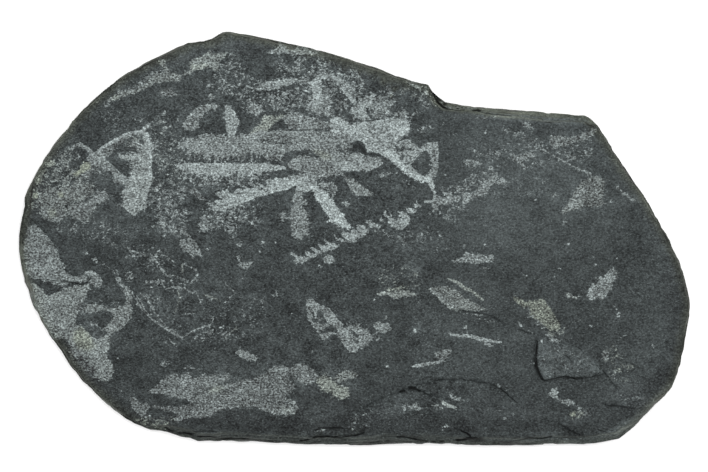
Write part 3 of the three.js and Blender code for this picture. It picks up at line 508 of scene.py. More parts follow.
    Film("flat film", 0.52, 0.82, 0.0, 1.0, """451,261 458,259 463,256 465,251 468,254 476,254 486,255
    492,254 494,258 493,262 484,262 474,264 466,262 458,263"""),
    Film("leaf film", 0.31, 0.88, 0.12, 1.1, """430,289 437,286.5 445,286.5 453,288.5 459,292 465,298
    487,310 474,311 456,309 450,306 444,300"""),
    Film("leaf rim", 0.62, 0.9, 0.15, 1.0, """429,289 433,291 447,303 454,308 462,310 456,311 449,308
    441,301"""),
    Film("leaf upper streak", 0.5, 0.85, 0.35, 1.0, """446,278 452,279 458,281 464,286 471,289 477,293
    482,298 484,301 479,299 472,293 465,290 458,285"""),
    Film("straw leaf", 0.36, 0.88, 0.7, 1.1, """512,296 518,297 525,302 532,300 538,301 540,298 545,301
    560,324 559,329 556,332 550,331 545,326 540,322 530,316 529,308 522,307 513,300"""),
    Film("straw leaf tail", 0.34, 0.5, 0.3, 1.1, """536,322 544,328 552,333 560,330 566,326 562,334
    552,336 542,330"""),
    Film("dash right", 0.56, 0.85, 0.15, 0.9, "565,293 569,293 573,296 578,296 576,299 571,298 567,297"),
    Film("right film", 0.5, 0.92, 0.0, 1.1, """586,296 589,289 592,284 597,283 599,278 604,277 608,270
    612,268 618,272 617,278 612,282 611,289 606,295 601,300 598,297 592,300 589,300"""),
    Film("right film left spur", 0.5, 0.6, 0.0, 1.0, "593,277 602,276 604,280 597,281"),
    Film("low streak one", 0.6, 0.86, 0.0, 0.9, """446,331 451,333 457,334 464,334 478,336 503,342
    500,343 480,341 470,338 454,336 448,333"""),
    Film("low streak two", 0.55, 0.6, 0.0, 0.8, "482,342 488,343 494,346 488,346"),
    Film("low streak three", 0.56, 0.85, 0.0, 0.9, """411,366 416,364 424,362 440,360 446,361 430,365
    424,366 416,367 412,367"""),
    Film("grid film", 0.24, 0.88, 0.0, 1.1, "434,353 442,349 451,349 449,356 444,361 435,358"),
    Film("v film left", 0.47, 0.9, 0.0, 0.9, """305,298 309,299 313,298.3 315,301.5 318,304 321,307.5
    324,308.5 328,307.3 331,310 336,319 340,321.3 343,325.5 344,329 340,330.5 333,326.5 325,319
    323.5,316 323.5,312 321,310.5 317,310 315,312 312,311.5 307,311.5 306,307 307,303 /308,311
    312.7,311 311.5,321.3 307.8,320.6 308.5,315 /314.3,311 317.3,311 317.2,315 315.5,318 314.3,314.3
    /316.6,318.6 320,316.3 322.8,318.4 319.6,320.9 /314,321 318,322 321,323.5 328.5,324.3 329.5,326.6
    325,327.2 323.5,329.8 321.6,330.8 318,329.2 315.8,326 /319.6,334.5 323,333 330,331.3 336.5,333.3
    332,334.2 328.3,335.6 327.6,338.8 325,339.8 321.5,338.3 /338,329 342,328.3 346,328.3 349,329
    357,336 360.5,337 361.3,341 360,345 358,349 354.6,352.8 350.5,352.8 347,349.2 341,341.6 338.3,337.6
    336.5,333.3"""),
    Film("v film gap three", 0.0, 0.15, 0.0, 0.8, "352.5,340 356,339.3 359.3,342 357,343.8 354,342.3"),
    Film("v film halo", 0.5, 0.75, 0.0, 1.3, """347,328 356,323 359.5,324.3 362.5,327.3 366,327.8
    369.5,330.5 374.5,337.5 370,340.2 368,343.7 365,346.8 361,348.5 358.5,344 361,340 358.5,336 354,332"""),
    Film("v film right", 0.5, 0.86, 0.0, 0.9, """373.6,325 375.3,322 379,321.3 385,323.4 388,322.6
    389.3,326 392.6,327.6 391,329.8 383,333.3 379.6,332.6 378.4,330 375.6,329.8 /374.6,338.2 378,336.3
    380.6,338 376,341"""),
    Film("fleck low one", 0.62, 0.92, 0.15, 0.8, "440,399 445,402 451,404 457,407 453,408 447,407 442,404"),
    Film("fleck low two", 0.48, 0.55, 0.0, 1.2, "448,391 465,401 458,401 452,398"),
    Film("fleck low three", 0.42, 0.6, 0.0, 1.3, "401,407 408,404 416,403 421,408 419,410 411,409 404,409"),
    Film("fleck low four", 0.42, 0.45, 0.0, 1.2, "352,417 358,414 376,410 368,414 360,417 356,423 353,421"),
    Film("low wisp one", 0.48, 0.8, 0.05, 1.0, "548,394 551,390 556,388 558,392 557,397 552,398"),
    Film("low wisp two", 0.41, 0.88, 0.0, 1.1, "555,397 562,399 570,400 574,403 568,405 561,403"),
    Film("low wisp three", 0.4, 0.45, 0.0, 1.4, "576,405 584,409 591,414 584,414 578,410"),
    Film("low straw", 0.42, 0.7, 0.9, 1.3, "570,412 575,411 576,416 571,418"),
    Film("low straw two", 0.4, 0.5, 0.5, 1.3, "577,411 583,412 581,418 577,418"),
    Film("right dull one", 0.27, 0.88, 0.05, 1.1, "601,355 604,350 608,350 609,356 606,361 602,359"),
    Film("right dull two", 0.34, 0.4, 0.1, 1.5, "610,374 615,371 617,377 613,380"),
    Film("right dull three", 0.32, 0.3, 0.4, 1.5, "624,362 631,361 633,366 627,368"),
    Film("flake top film", 0.5, 0.7, 0.0, 0.9, "545,336 552,339 560,341 558,343 550,341"),
    Film("notch film", 0.56, 0.84, 0.08, 1.0, """405,80 412,80.5 418,82.5 419,86 421,88.5 420.5,91
    411,86.5 407,83.5 /423,91 426,90 429.3,95.5 427,95.3 424,93.6"""),
    Film("notch film two", 0.34, 0.66, 0.15, 1.2, """420,84 426,85.5 429,88 428.5,91 421.5,87.5 /400,91
    404,88.5 406,91 406,94 402,93 /408,86.5 411,89 409.5,90 407,88 /410,92 419,97 423,96 420,98.5
    415,98 411,95.5"""),
)

HAIRS: tuple[Hair, ...] = (
    Hair(0.44, 0.98, 0.0, 1.5, """542,149.5 569.5,164.8 582.6,171 592,174.8 /617,187.5 632,201 /357,73
    359,76 363,84 /305,58 301,63 297,68 /386,88 389,91 392,93 /411,117 413,114 416,113 /337,170 342,174
    347,178"""),
    Hair(0.58, 0.88, 0.0, 3.2, "331,76.5 338,79.5 345,84 350,90 353.5,97 354.5,103"),
    Hair(0.84, 0.93, 0.0, 4.2, "316,82 316.5,90 316,107"),
    Hair(0.9, 0.96, 0.0, 4.6, "388,151 398,163 404,169 412,174.5 420,178.5 428,180"),
    Hair(0.36, 0.55, 0.0, 1.3, "401,181 407,184 413,187 /592,175 600,177.5 609,181"),
    Hair(0.45, 0.85, 0.0, 2.0, "320,184.5 332,183.5 335,186.5 336,190 333.5,193 332.5,197"),
    Hair(0.56, 0.85, 0.0, 2.2, "309,317 316,328 321,334"),
    Hair(0.1, 0.35, 0.0, 2.0, "271,401 276,402.5 282,402"),
    Hair(0.6, 0.9, 0.1, 1.4, "279,412.5 284,413 293,407.5 /291,409 294,413"),
    # The next thread is a painted highlight along the lamina's edge, above the dark groove near the foot of
    # the face.
    Hair(0.28, 0.6, 0.0, 1.2, "314,431 319,429.6 325,429.5 331,431.5"),
    Hair(0.1, 0.45, 0.0, 1.4, "190,399 200,393 210,388 222,382.5 230,380"),
    Hair(0.44, 0.88, 0.0, 1.3, """132,292 144,311 151,318 159,324 166,328.5 183,338.5 /141,293 150,303
    154,309 /137,296 142,303 145,309 150,315 /183,337 197,329 210,325 213,321 213,317 /168,288.5
    174,287 182,288 193,292 /183,263.7 194,268.4 198,274 195,279 190,283.5 /196,290.5 199,297 202,304.7
    /130,250 144,254 147,257 /168,275 176,276 188,281"""),
    Hair(0.5, 0.9, 0.0, 1.4, """160,325 166,328 178,336.5 /151,254 157,261 163,270.5 /158,251 157,256
    152,259.5 /181,241 186,246 191,253 194,260 /188,240 202,257 /184,240 190,248 196,254"""),
    Hair(0.36, 0.86, 0.3, 1.3, """178,291 180,297 178.5,304 176,311 /225,337 231,332 237,327 /205,295
    213,297 221,301.6 /182.4,265 183,270 183,275"""),
    Hair(0.36, 0.86, 0.0, 1.2, """155,312 162,321 168,327 180,335 /168,338 172,342 175,344 /186,314
    194,313 /162,282 165,287 /168,258 174,261 /162,255 168,256 /222,335 228,331 /226,336 232,331"""),
    Hair(0.52, 0.9, 0.0, 1.8, """202,338 205,336.5 208,333.5 /146,281 149,281.6 /151.5,281.4 154,281.8
    /156,282 159,282.4 /221,327 224,326"""),
    Hair(0.5, 0.88, 0.0, 2.0, "296,262.6 311,257 326,250 335,246.5"),
    Hair(0.38, 0.8, 0.0, 1.3, "335,246.5 342,242.5 358,239 365,235 368,231.5"),
    Hair(0.34, 0.45, 0.0, 6.0, "150,298 158,301 /198,338 204,336 210,333"),
    Hair(0.4, 0.8, 0.0, 1.2, """439,100 443,104 447,107 451,108.5 /450,105.5 455,107.5 460,108.6
    466,108.2 470,109.3 474,108.5"""),
    Hair(0.42, 0.7, 0.1, 1.3, "472,117.5 478,118.3 486,118.6 /488,117 495,116.3 503,116.8"),
    Hair(0.44, 0.7, 0.0, 1.3, "226,284 236,293 230,297 225,302"),
    Hair(0.55, 0.85, 0.0, 1.2, "151,260 157,261 163,270"),
    Hair(0.48, 0.75, 0.0, 1.3, "153,252 157,257 156,262"),
    Hair(0.48, 0.75, 0.0, 1.2, "152,260 156,255 160,250"),
    Hair(0.4, 0.55, 0.0, 1.2, "104,264 110,268 115,272"),
    Hair(0.5, 0.7, 0.0, 1.3, "184,368 189,366.5 199,370 /612,305 616,309"),
    Hair(0.44, 0.6, 0.0, 1.3, "464,313 472,314 482,315"),
    Hair(0.42, 0.55, 0.0, 1.3, "476,318 486,320 494,322"),
    Hair(0.44, 0.7, 0.0, 1.2, "545,334 552,338 561,341"),
    Hair(0.46, 0.7, 0.1, 1.2, "433,405 438,405 442,408"),
    Hair(0.42, 0.6, 0.0, 1.2, "483,268 492,268 /568,322 575,322 580,319 /528,330 532,333"),
    Hair(0.4, 0.6, 0.0, 1.2, "280,62 286,67 292,70 /620,338 624,335"),
    Hair(0.42, 0.5, 0.0, 1.2, "153,227 158,226 163,225"),
    Hair(0.78, 0.95, 0.0, 1.8, "176,165 190,163.6 205,164.4 262,164.6 277,165.8 284,168.5"),
    Hair(0.84, 0.95, 0.0, 1.8, "215,210 226,208 236,205 256,197 280,190"),
    Hair(0.88, 0.97, 0.0, 3.2, "147,134 151,148 151.5,156 150.5,166 151,178"),
    Hair(0.78, 0.92, 0.0, 2.0, "97,152.5 101,149 107,144.8 128,133.3 136,132.3 142,131 148,125"),
    Hair(0.6, 0.85, 0.0, 2.2, "97,154.5 102,157 108,163 116,169.5 124,177"),
    Hair(0.52, 0.8, 0.0, 1.3, "75,146 79,144.6 85,146.6 97,154"),
    Hair(0.48, 0.8, 0.0, 1.2, "75,151 80.5,156.5 75.5,160"),
    Hair(0.68, 0.9, 0.0, 1.5, "316,303 321,307 329,308.5 333,313 337,319 342,324"),
    Hair(0.1, 0.3, 0.0, 1.4, "348,329.5 352,333 357,337 /371,342 375,339 379,336"),
    Hair(0.45, 0.7, 0.0, 1.4, "370,336 374,334.5 378,332"),
    Hair(0.6, 0.85, 0.0, 1.4, "342,342 347,348 352,351.5 356,349"),
    Hair(0.66, 0.9, 0.0, 1.6, "335,167.5 340,169.3 350,169.6 370,168.3 378,166.5 381,163"),
    Hair(0.74, 0.9, 0.0, 1.4, "352,124 380,121 395,120"),
    Hair(0.1, 0.4, 0.0, 1.6, "331,112 338,116.5 352,124"),
    Hair(0.15, 0.45, 0.0, 1.5, "352,119.5 358,121 365,121"),
    Hair(0.15, 0.5, 0.0, 1.5, "284,130 300,130.5 318,130 332,128.5"),
    Hair(0.15, 0.55, 0.0, 1.5, "252,139.5 264,140.5 276,143 290,143.5"),
    Hair(0.15, 0.5, 0.0, 1.4, "336,146 342,150 346,155"),
    Hair(0.62, 0.9, 0.05, 1.4, "351,178.5 362,186.8 368,190.6 373,193"),
    Hair(0.62, 0.85, 0.0, 1.4, "226,107 226,118 227,128 230,138"),
    Hair(0.6, 0.85, 0.0, 1.3, "194,111 200,107 208,105 218,105.5"),
)

COMBS: tuple[Comb, ...] = (
    Comb(0.10, 0.34, 1.2, 3.1, "3,10", "541,346 552,345 566,349 580,354 590,362"),
    Comb(0.10, 0.34, 1.2, 2.9, "4,9", "540,358 552,357 566,360 580,365"),
    Comb(0.10, 0.34, 1.2, 3.3, "-3,8", "546,368 556,366 568,367 582,369 594,368"),
    Comb(0.50, 0.80, 2.2, 4.6, "-2,7", "188,150 200,153 215,154 245,154 262,152"),
    Comb(0.50, 0.70, 1.5, 3.6, "1.5,-3.5", "180,142 195,140 228,138"),
    Comb(0.62, 0.80, 2.2, 5.0, "-3,8", "184,169 215,175 232,172 248,172 262,170"),
    Comb(0.68, 0.88, 2.4, 6.0, "-8,-3.5", "226,203 236,199 246,194 270,184 284,180"),
    Comb(0.56, 0.80, 1.8, 3.2, "-9,-3", "136,170 138,161 143,145"),
    Comb(0.48, 0.75, 1.6, 3.5, "-5,1.5", "124,206 125,196 133,176"),
    Comb(0.50, 0.65, 1.4, 3.0, "5,-8", "152,158 152,151 150,140"),
    Comb(0.55, 0.75, 1.6, 3.2, "-7,-4", "312,84 310,92 312,108"),
    Comb(0.50, 0.70, 1.6, 3.6, "4,-4", "322,74 338,82 346,89 352,96"),
    Comb(0.42, 0.70, 1.6, 4.0, "-5,2", "151,391 159,386 167,379 175,375"),
    Comb(0.42, 0.70, 1.6, 4.0, "4,-1.5", "307,236 307,226 303,206 302,198"),
    Comb(0.55, 0.75, 1.5, 3.6, "-6,-1", "437,156 437,163 436,170 434,176"),
    Comb(0.45, 0.75, 1.6, 4.0, "-4,1", "527,306 531,314 538,321 546,328"),
    Comb(0.45, 0.60, 1.4, 3.5, "1,-5", "346,329 352,326 360,328 368,331"),
    Comb(0.40, 0.60, 1.4, 3.6, "-7,-4", "72,186 80,190 96,196"),
    Comb(0.42, 0.60, 1.4, 4.0, "8,-2", "566,209 584,187"),
    Comb(0.50, 0.70, 1.4, 3.2, "9,4", "432,290 438,296 450,306"),
    Comb(0.48, 0.70, 1.5, 3.6, "5,3", "374,101 382,96 388,100 390,107"),
    Comb(0.46, 0.65, 1.5, 3.6, "-4,-5", "300,96 304,88 310,80"),
)

FLECKS: str = """
    181,233,1.6 88,253,1.5 93,259,1.3 95,260,1.2 240,244,1 260,251,1.2 207,249,1 277,294,1.4 292,313,1
    309,275,1.1 320,266,1.2 308,288,1 252,335,1 243,278,1.2 178,120,1.4 166,122,1.2 165,112,1.2
    136,119,1.3 141,121,1.5 386,317,2.2 374,299,1 418,302,1.2 355,257,1.2 343,203,1.2 346,204,1.3
    103,301,1.2 164,281,1.3 152,287,1.2 172,281,1.6 97,262,1 464,327,1.4 415,331,1.6 353,429,1.2
    446,426,1.4 443,429,1.1 405,408,1.3 419,409,1.5 519,324,1.5 559,268,1.2 593,257,1.1 595,265,1.3
    616,259,1.1 589,325,1.4 606,315,1 619,315,1.2 554,276,1 551,282,1 533,191,1.2 485,226,1 568,244,1.4
    555,242,1.1 541,341,1.1 534,363,1.3 513,414,1.3 652,345,1.2 614,378,1.1 498,410,1 505,418,1
    430,128,1.1 428,131,1 430,214,1 498,386,1.2 387,366,1.3 312,351,1.5 118,358,1.3 70,359,1.2 121,391,1
    166,343,1.3 127,345,1 113,343,1 445,175,1.2 526,276,1 465,246,1.1 484,245,1.1 506,390,1.1 610,202,1
    535,200,1.1 443,124,1 485,133,1.2 453,135,1 459,143,1 400,131,1.4 276,242,1 264,242,1 239,256,1.3
"""

# Each groove is cut into the face, and its foot is darkened with painted shade where shade falls into the
# crack.
CRACKS: tuple[Crack, ...] = (
    Crack(0.12, 1.4, "434,380 460,378.5 470,380 477,382 488,382.5 496,386 505,392 511,398 517,402"),
    Crack(0.06, 1.1, "366,406 374,401 /379,398.5 387,395.3 /391,394 400,391.5"),
    Crack(0.14, 1.5, "412,388 423,391.5 431,396"),
    Crack(0.3, 2.1, "409,387 414,388 420,391"),
    Crack(0.3, 2.4, "400,391.4 404,390.6"),
    Crack(0.4, 3.0, "411,387 415,388"),
    Crack(0.1, 1.3, """556,421 575,433 584,437 /597,429 607,432 616,436 /604,404 622,406 634,408
    /602,370 612,382 617,389 /593,376 600,372 /452,309 476,312.5 490,316 500,321 /518,329 526,332
    534,334 /545,329 550,332 555,334"""),
    Crack(0.1, 1.2, "454,427 462,430.5"),
    Crack(0.14, 1.8, "62,281.5 74,282 83,285 88,282 91,278"),
    Crack(0.08, 1.3, "472,112 490,114 510,116"),
    Crack(0.1, 5.1, "355,147 358,145 361,148 364,152"),
    Crack(0.05, 2.5, "364,154 372,154 380,156"),
    # The first stroke of the next row and the four rows after it trace the flake's left and lower edges:
    # their dark is painted shadow that the raised flake casts.
    Crack(0.34, 1.8, "537,341 536,347 535,361 /176,432 184,432.6 192,433.6 /222,438.6 238,437.2 246,438.6"),
    Crack(0.38, 2.8, "535.3,358 536,366 538.5,372.5 542,378.6"),
    Crack(0.2, 1.2, "542,379.6 550,379 561,376.6"),
    Crack(0.34, 1.7, "561,376.5 566,376.4 576,378 582,377.4"),
    Crack(0.16, 1.2, "582,377.4 597,375.6 603,373.5"),
    Crack(0.12, 1.2, "565,355 569,358.5 572,362 /407,83.8 412,87.3 417,90.6 /419,84 420.5,86.5"),
    Crack(0.4, 2.4, "433,95 439,104 443,107.3 447,109.6"),
    Crack(0.34, 1.5, """431,91 433,95 /447,109.6 457,111.4 464,110.9 /466.5,112.6 470,112.2 473,110.8
    480,111"""),
    Crack(0.26, 1.3, "432,91.5 436,95.8 438,98 /441,101 445,103.3 448,105 /453,106.2 458,109"),
    Crack(0.3, 1.3, """166,427.5 174,430.5 /193,436 203,436.3 216,436.2 /300,440.2 306,439.6 312,438
    /426,440.6 436,441 446,440.8"""),
    Crack(0.34, 1.6, """312,437 322,436 332,436.2 341,437.2 /343,436.8 350,435.4 357,434.8 364,432.4
    /397,436.3 403,436.2 410,437.4 418,439.6 426,440.6"""),
    Crack(0.16, 1.1, """192,431 204,430.8 216,431.2 /313,430.6 320,428.4 330,427.4 342,427.8 /250,441
    262,440.4 276,440.8"""),
    Crack(0.5, 3.0, "457,439.6 472,437.6 481,438"),
    Crack(0.3, 1.6, "461,430.5 467,433 471,436.5 /520,438.8 530,437.2 541,437.7 551,436.2"),
)

SHADES: tuple[Shade, ...] = (
    Shade(0.0, 0.75, 40.0, "430,80 720,80 720,480 500,480 440,330 420,220"),
    Shade(0.03, 0.75, 60.0, "440,120 560,130 620,200 600,260 470,270 430,230"),
    Shade(-0.076, 0.8, 24.0, "100,405 200,424 300,418 420,416 520,420 640,440 640,480 100,480"),
    Shade(-0.025, 0.3, 16.0, "15,130 60,130 70,300 130,420 60,420 15,300"),
    Shade(-0.03, 0.25, 30.0, "200,300 300,300 320,350 300,365 230,370 200,350"),
    Shade(-0.014, 0.3, 16.0, "330,405 400,380 470,375 500,390 480,415 340,425"),
    Shade(0.1, 0.65, 5.0, """432,86 445,98 470,104 600,112 612,124 600,125 560,124 500,120 466,114
    446,109 434,97"""),
    Shade(0.022, 0.6, 9.0, "594,116 614,118 694,240 672,248 633,194 592,146"),
    Shade(0.03, 0.5, 8.0, "230,20 340,30 430,70 430,88 340,62 270,48 230,44"),
    Shade(0.105, 0.5, 4.0, "12,244 24,244 27,270 34,290 44,314 58,336 48,344 30,316 18,280"),
    Shade(0.095, 0.7, 3.0, "560,438 600,434 640,412 664,384 690,380 650,450 560,470"),
    Shade(-0.03, 0.75, 8.0, """560,426 606,418 636,398 656,370 668,330 676,240 700,240 700,380 650,450
    560,450"""),
    Shade(0.06, 0.7, 9.0, "150,420 190,427 300,433 500,435 560,433 600,460 150,460"),
    Shade(0.07, 0.5, 2.5, "71,116 54,137 45,149 35,168 20,200 28,204 32,190 51,155 60,143 77,123"),
    Shade(-0.02, 0.75, 20.0, "545,215 640,205 650,260 560,265"),
    Shade(0.014, 0.75, 20.0, "470,145 530,135 560,160 550,185 480,185"),
    Shade(-0.03, 0.95, 9.0, "497,276 506,272 515,278 516,292 508,298 499,292"),
    Shade(-0.04, 0.6, 4.0, "258,92 290,88 298,92 296,100 286,102 270,98"),
    Shade(0.02, 0.75, 14.0, "300,412 580,412 600,432 300,436"),
    Shade(-0.02, 0.5, 12.0, "100,395 300,405 300,425 180,425"),
    Shade(-0.02, 0.3, 12.0, "100,355 160,358 160,388 104,388"),
    Shade(-0.012, 0.35, 30.0, "100,235 330,240 340,300 120,300"),
    Shade(0.02, 0.7, 5.0, "430,108 500,120 500,128 434,118"),
    Shade(-0.02, 0.6, 14.0, "356,280 412,280 412,395 280,420 275,395 356,385"),
    Shade(-0.02, 0.4, 14.0, "104,344 190,344 190,410 150,400 104,380"),
    Shade(0.022, 0.7, 5.0, "420,432 620,430 616,444 420,446"),
    Shade(-0.014, 0.75, 14.0, "530,320 608,320 608,412 530,412"),
    Shade(-0.018, 0.5, 8.0, "76,116 104,114 104,140 80,142"),
    Shade(-0.008, 0.5, 12.0, "80,200 130,200 130,230 60,310 48,270"),
    Shade(-0.02, 0.3, 10.0, "158,252 192,252 192,286 158,286"),
    Shade(-0.026, 0.4, 6.0, "334,238 386,232 386,254 334,256"),
    Shade(0.024, 0.7, 4.0, "520,432 556,430 556,446 520,446"),
    Shade(-0.02, 0.5, 4.0, "32,168 48,168 46,198 28,198"),
    Shade(0.052, 0.25, 1.2, """538,342 546,340 556,342 580,348 595,360 603,372 590,376 582,377
    570,376.5 550,379 542,378 538,370 536.5,358"""),
)

# How deep the darkest groove is cut.
DEEP_CRACK_MM = 0.20
# The mean of every random pattern, and of the threads that are drawn from one.
MEAN = 0.5
THREADS_MEAN = 0.25
# How far a tooth strays, as a share of a step, how far it leans, and its lengths, as shares of the
# row's reach.
TOOTH_DRIFT = 0.3
TOOTH_LEAN = 0.25
TOOTH_LENGTHS = (0.6, 1.3)


def gap_to_path(places: np.ndarray, path: np.ndarray, closed: bool) -> np.ndarray:
    """Measures how far each place is from a path.

    Args:
        places: one row (x, y) for each place.
        path: the path's points.
        closed: whether the last point joins the first.

    Returns:
        The least distance of each place, in the units given.
    """
    starts, ends = (path, np.roll(path, -1, axis=0)) if closed else (path[:-1], path[1:])
    nearest = np.full(len(places), np.inf)
    for start, end in zip(starts, ends):
        run = end - start
        share = np.clip((places - start) @ run / max(run @ run, 1e-12), 0.0, 1.0)
        gap = places - start - share[:, None] * run
        nearest = np.minimum(nearest, (gap**2).sum(axis=1))
    return np.sqrt(nearest)


def depth_inside(places: np.ndarray, outline: np.ndarray) -> np.ndarray:
    """Measures how deep each place lies in an outline.

    Args:
        places: one row (x, y) for each place.
        outline: the corners of the closed outline.

    Returns:
        The distance to the outline, above 0 inside it and below 0 outside.
    """
    inside = np.zeros(len(places), dtype=bool)
    for (ax, ay), (bx, by) in zip(outline, np.roll(outline, -1, axis=0)):
        if ay == by:
            continue
        crosses = (ay > places[:, 1]) != (by > places[:, 1])
        inside ^= crosses & (places[:, 0] < ax + (places[:, 1] - ay) * (bx - ax) / (by - ay))
    return np.where(inside, 1.0, -1.0) * gap_to_path(places, outline, closed=True)


def near(places: np.ndarray, path: np.ndarray, margin: float) -> np.ndarray:
    """Finds the indices of the places in a path's box, widened by a margin."""
    low, high = path.min(axis=0) - margin, path.max(axis=0) + margin
    return np.flatnonzero(((places > low) & (places < high)).all(axis=1))


def eased(value: np.ndarray, low: float, high: float) -> np.ndarray:
    """Turns values from low to high into a smooth rise from 0 to 1."""
    share = np.clip((value - low) / (high - low), 0.0, 1.0)
    return share * share * (3.0 - 2.0 * share)


def across(gap: np.ndarray, half: np.ndarray | float, reach: float) -> np.ndarray:
    """Fades a line from 1 at its middle to 0 where the gap is reach times its half width."""
    return np.clip(reach - gap / half, 0.0, 1.0)


def rough_noise(x: float, y: float, per_mm: float) -> float:
    """Gives a random value about 0 at a place, with three sizes of detail."""
    return noise.fractal(Vector((x, y, 0.0)) * per_mm, 1.0, 2.0, 3)


def teeth(comb: Comb) -> list[np.ndarray]:
    """Places the teeth of one row, each a little unlike the next.

    Args:
        comb: the row.

    Returns:
        The foot and the tip of each tooth, in millimetres.
    """
    chance = np.random.default_rng(len(comb.foot))
    foot = points(comb.foot)
    reach = points(comb.reach)[0] - points("0,0")[0]
    legs = np.linalg.norm(np.diff(foot, axis=0), axis=1)
    along = np.concatenate([[0.0], np.cumsum(legs)])
    step = comb.step * PLAN_STEP_MM
    row = []
    for way in np.arange(0.0, along[-1], step):
        spot = way + chance.uniform(-TOOTH_DRIFT, TOOTH_DRIFT) * step
        root = np.array([np.interp(spot, along, foot[:, axis]) for axis in (0, 1)])
        turn = np.array([[1.0, chance.uniform(-TOOTH_LEAN, TOOTH_LEAN)], [0.0, 1.0]])
        row.append(np.array([root, root + turn @ reach * chance.uniform(*TOOTH_LENGTHS)]))
    return row


@dataclass
class BeddingFace:
    """The drawing on the slab's upper face, worked out at each of its vertices.

    Attributes:
        places: one row (x, y) in millimetres for each vertex.
        film: share of silver at each vertex.
        silver: share of silver times its shine.
        straw: share of silver times its straw tint.
        tone: what is added to the shale's lightness.
        calm: how even the shale's grain is.
        groove_shade: how dark the painted shade at a crack's foot is; it also sets how deep the groove is
            cut.
    """

    places: np.ndarray
    film: np.ndarray = field(init=False)
    silver: np.ndarray = field(init=False)
    straw: np.ndarray = field(init=False)
    tone: np.ndarray = field(init=False)
    calm: np.ndarray = field(init=False)
    groove_shade: np.ndarray = field(init=False)

    # How far the drawn lines wander from side to side, and how often. The random vectors behind it
    # start from the clock unless they are given a seed.
    WANDER_MM = 0.04
    WANDER_PER_MM = 2.4
    WANDER_SEED = 7
    # A patch that covers more is a film, with loose grains outside its border.
    DENSE_COVER = 0.3
    # How far out they thin away, their share for each plan step of fade beyond a crisp border's,
    # and the most of them.
    FRINGE_MM = 0.22
    CRISP_FADE = 0.8
    LOOSE_PER_STEP = 0.25
    MOST_LOOSE = 0.40
    # How much a soft border is widened.
    RAGGED_MM = 0.16
    # Where a thread or tooth, a bright grain and a groove end, in half widths.
    THREAD_REACH = 1.5
    FLECK_REACH = 1.2
    GROOVE_REACH = 1.4
    # A tooth's half width at its foot, and its loss to the tip, as shares of the row's.
    TOOTH_FOOT = 1.1
    TOOTH_TAPER = 0.6
    # The bright grains.
    FLECK_SHINE = 0.62
    FLECK_COVER = 0.95
    # How dark the painted shade at the foot of the shallowest groove is, and what one as deep as
    # DEEP_CRACK_MM adds.
    GROOVE_SHADE = 0.35
    GROOVE_DEEPENS = 0.5

    def __post_init__(self) -> None:
        """Starts with bare shale and draws every patch over it."""
        count = len(self.places)
        self.film, self.silver, self.straw, self.tone, self.calm, self.groove_shade = np.zeros((6, count))
        noise.seed_set(self.WANDER_SEED)
        wander = np.array([
            noise.noise_vector(Vector((x, y, 0.0)) * self.WANDER_PER_MM)[:2] for x, y in self.places
        ])
        self.places = self.places + wander * self.WANDER_MM
        for shade in SHADES:
            self._lay_shade(shade)
        for film in FILMS:
            for loop in strokes(film.outline):
                self._lay_film(film, loop)
        for hair in HAIRS:
            for path in strokes(hair.paths):
                self._lay_hair(hair, path)
        for comb in COMBS:
            for tooth in teeth(comb):
                self._lay_tooth(comb, tooth)
        for fleck in FLECKS.split():
            self._lay_fleck(fleck)
        for crack in CRACKS:
            for path in strokes(crack.paths):
                self._shade_groove(crack, path)

    def _lay(self, rows: np.ndarray, share: np.ndarray, shine: float, cover: float, straw: float) -> None:
        """Paints silver over what is already there.

        Args:
            rows: the vertices it may touch.
            share: how much of it each of them gets.
            shine: its brightness.
            cover: the share of the surface it hides.
            straw: its straw tint.
        """
        self.film[rows] += share * (cover - self.film[rows])
        self.silver[rows] += share * (cover * shine - self.silver[rows])
        self.straw[rows] += share * (cover * straw - self.straw[rows])

    def _lay_film(self, film: Film, outline: np.ndarray) -> None:
        """Paints one loop of a film.

        Args:
            film: the film.
            outline: the loop's corners, in millimetres.
        """
        fade = film.fade * PLAN_STEP_MM
        rows = near(self.places, outline, fade + 3 * self.FRINGE_MM)
        depth = depth_inside(self.places[rows], outline)
        softness = film.fade - self.CRISP_FADE
        if film.cover > self.DENSE_COVER:
            loose = min(self.MOST_LOOSE, softness * self.LOOSE_PER_STEP) * film.cover
            fringe = loose * np.exp(-np.abs(np.minimum(depth, 0.0)) / self.FRINGE_MM)
            self.silver[rows] = np.where(fringe > self.film[rows], fringe * film.shine, self.silver[rows])
            self.film[rows] = np.maximum(self.film[rows], fringe)
        ragged = fade + self.RAGGED_MM * min(1.0, softness)
        self._lay(rows, np.clip(0.5 + depth / ragged, 0.0, 1.0), film.shine, film.cover, film.straw)

    def _lay_hair(self, hair: Hair, path: np.ndarray) -> None:
        """Paints one thread, full in its middle and fading to its sides."""
        half = hair.width * PLAN_STEP_MM / 2
        rows = near(self.places, path, 2 * half)
        gap = gap_to_path(self.places[rows], path, closed=False)
        self._lay(rows, across(gap, half, self.THREAD_REACH), hair.shine, hair.cover, hair.straw)

    def _lay_tooth(self, comb: Comb, tooth: np.ndarray) -> None:
        """Paints one tooth of a row, full at its foot and thin at its tip."""
        root, tip = tooth
        half = comb.width * PLAN_STEP_MM / 2
        rows = near(self.places, tooth, 2 * half)
        gap = gap_to_path(self.places[rows], tooth, closed=False)
        out = np.linalg.norm(self.places[rows] - root, axis=1) / np.linalg.norm(tip - root)
        thin = half * (self.TOOTH_FOOT - self.TOOTH_TAPER * np.clip(out, 0.0, 1.0))
        self._lay(rows, across(gap, thin, self.THREAD_REACH), comb.shine, comb.cover, 0.0)

    def _lay_fleck(self, fleck: str) -> None:
        """Paints one bright grain, given as x,y,radius on the plan sheet."""
        middle = points(fleck)
        radius = float(fleck.split(",")[2]) * PLAN_STEP_MM
        rows = near(self.places, middle, 2 * radius)
        gap = np.linalg.norm(self.places[rows] - middle[0], axis=1)
        share = across(gap, radius, self.FLECK_REACH)
        self._lay(rows, share, self.FLECK_SHINE, self.FLECK_COVER, 0.0)

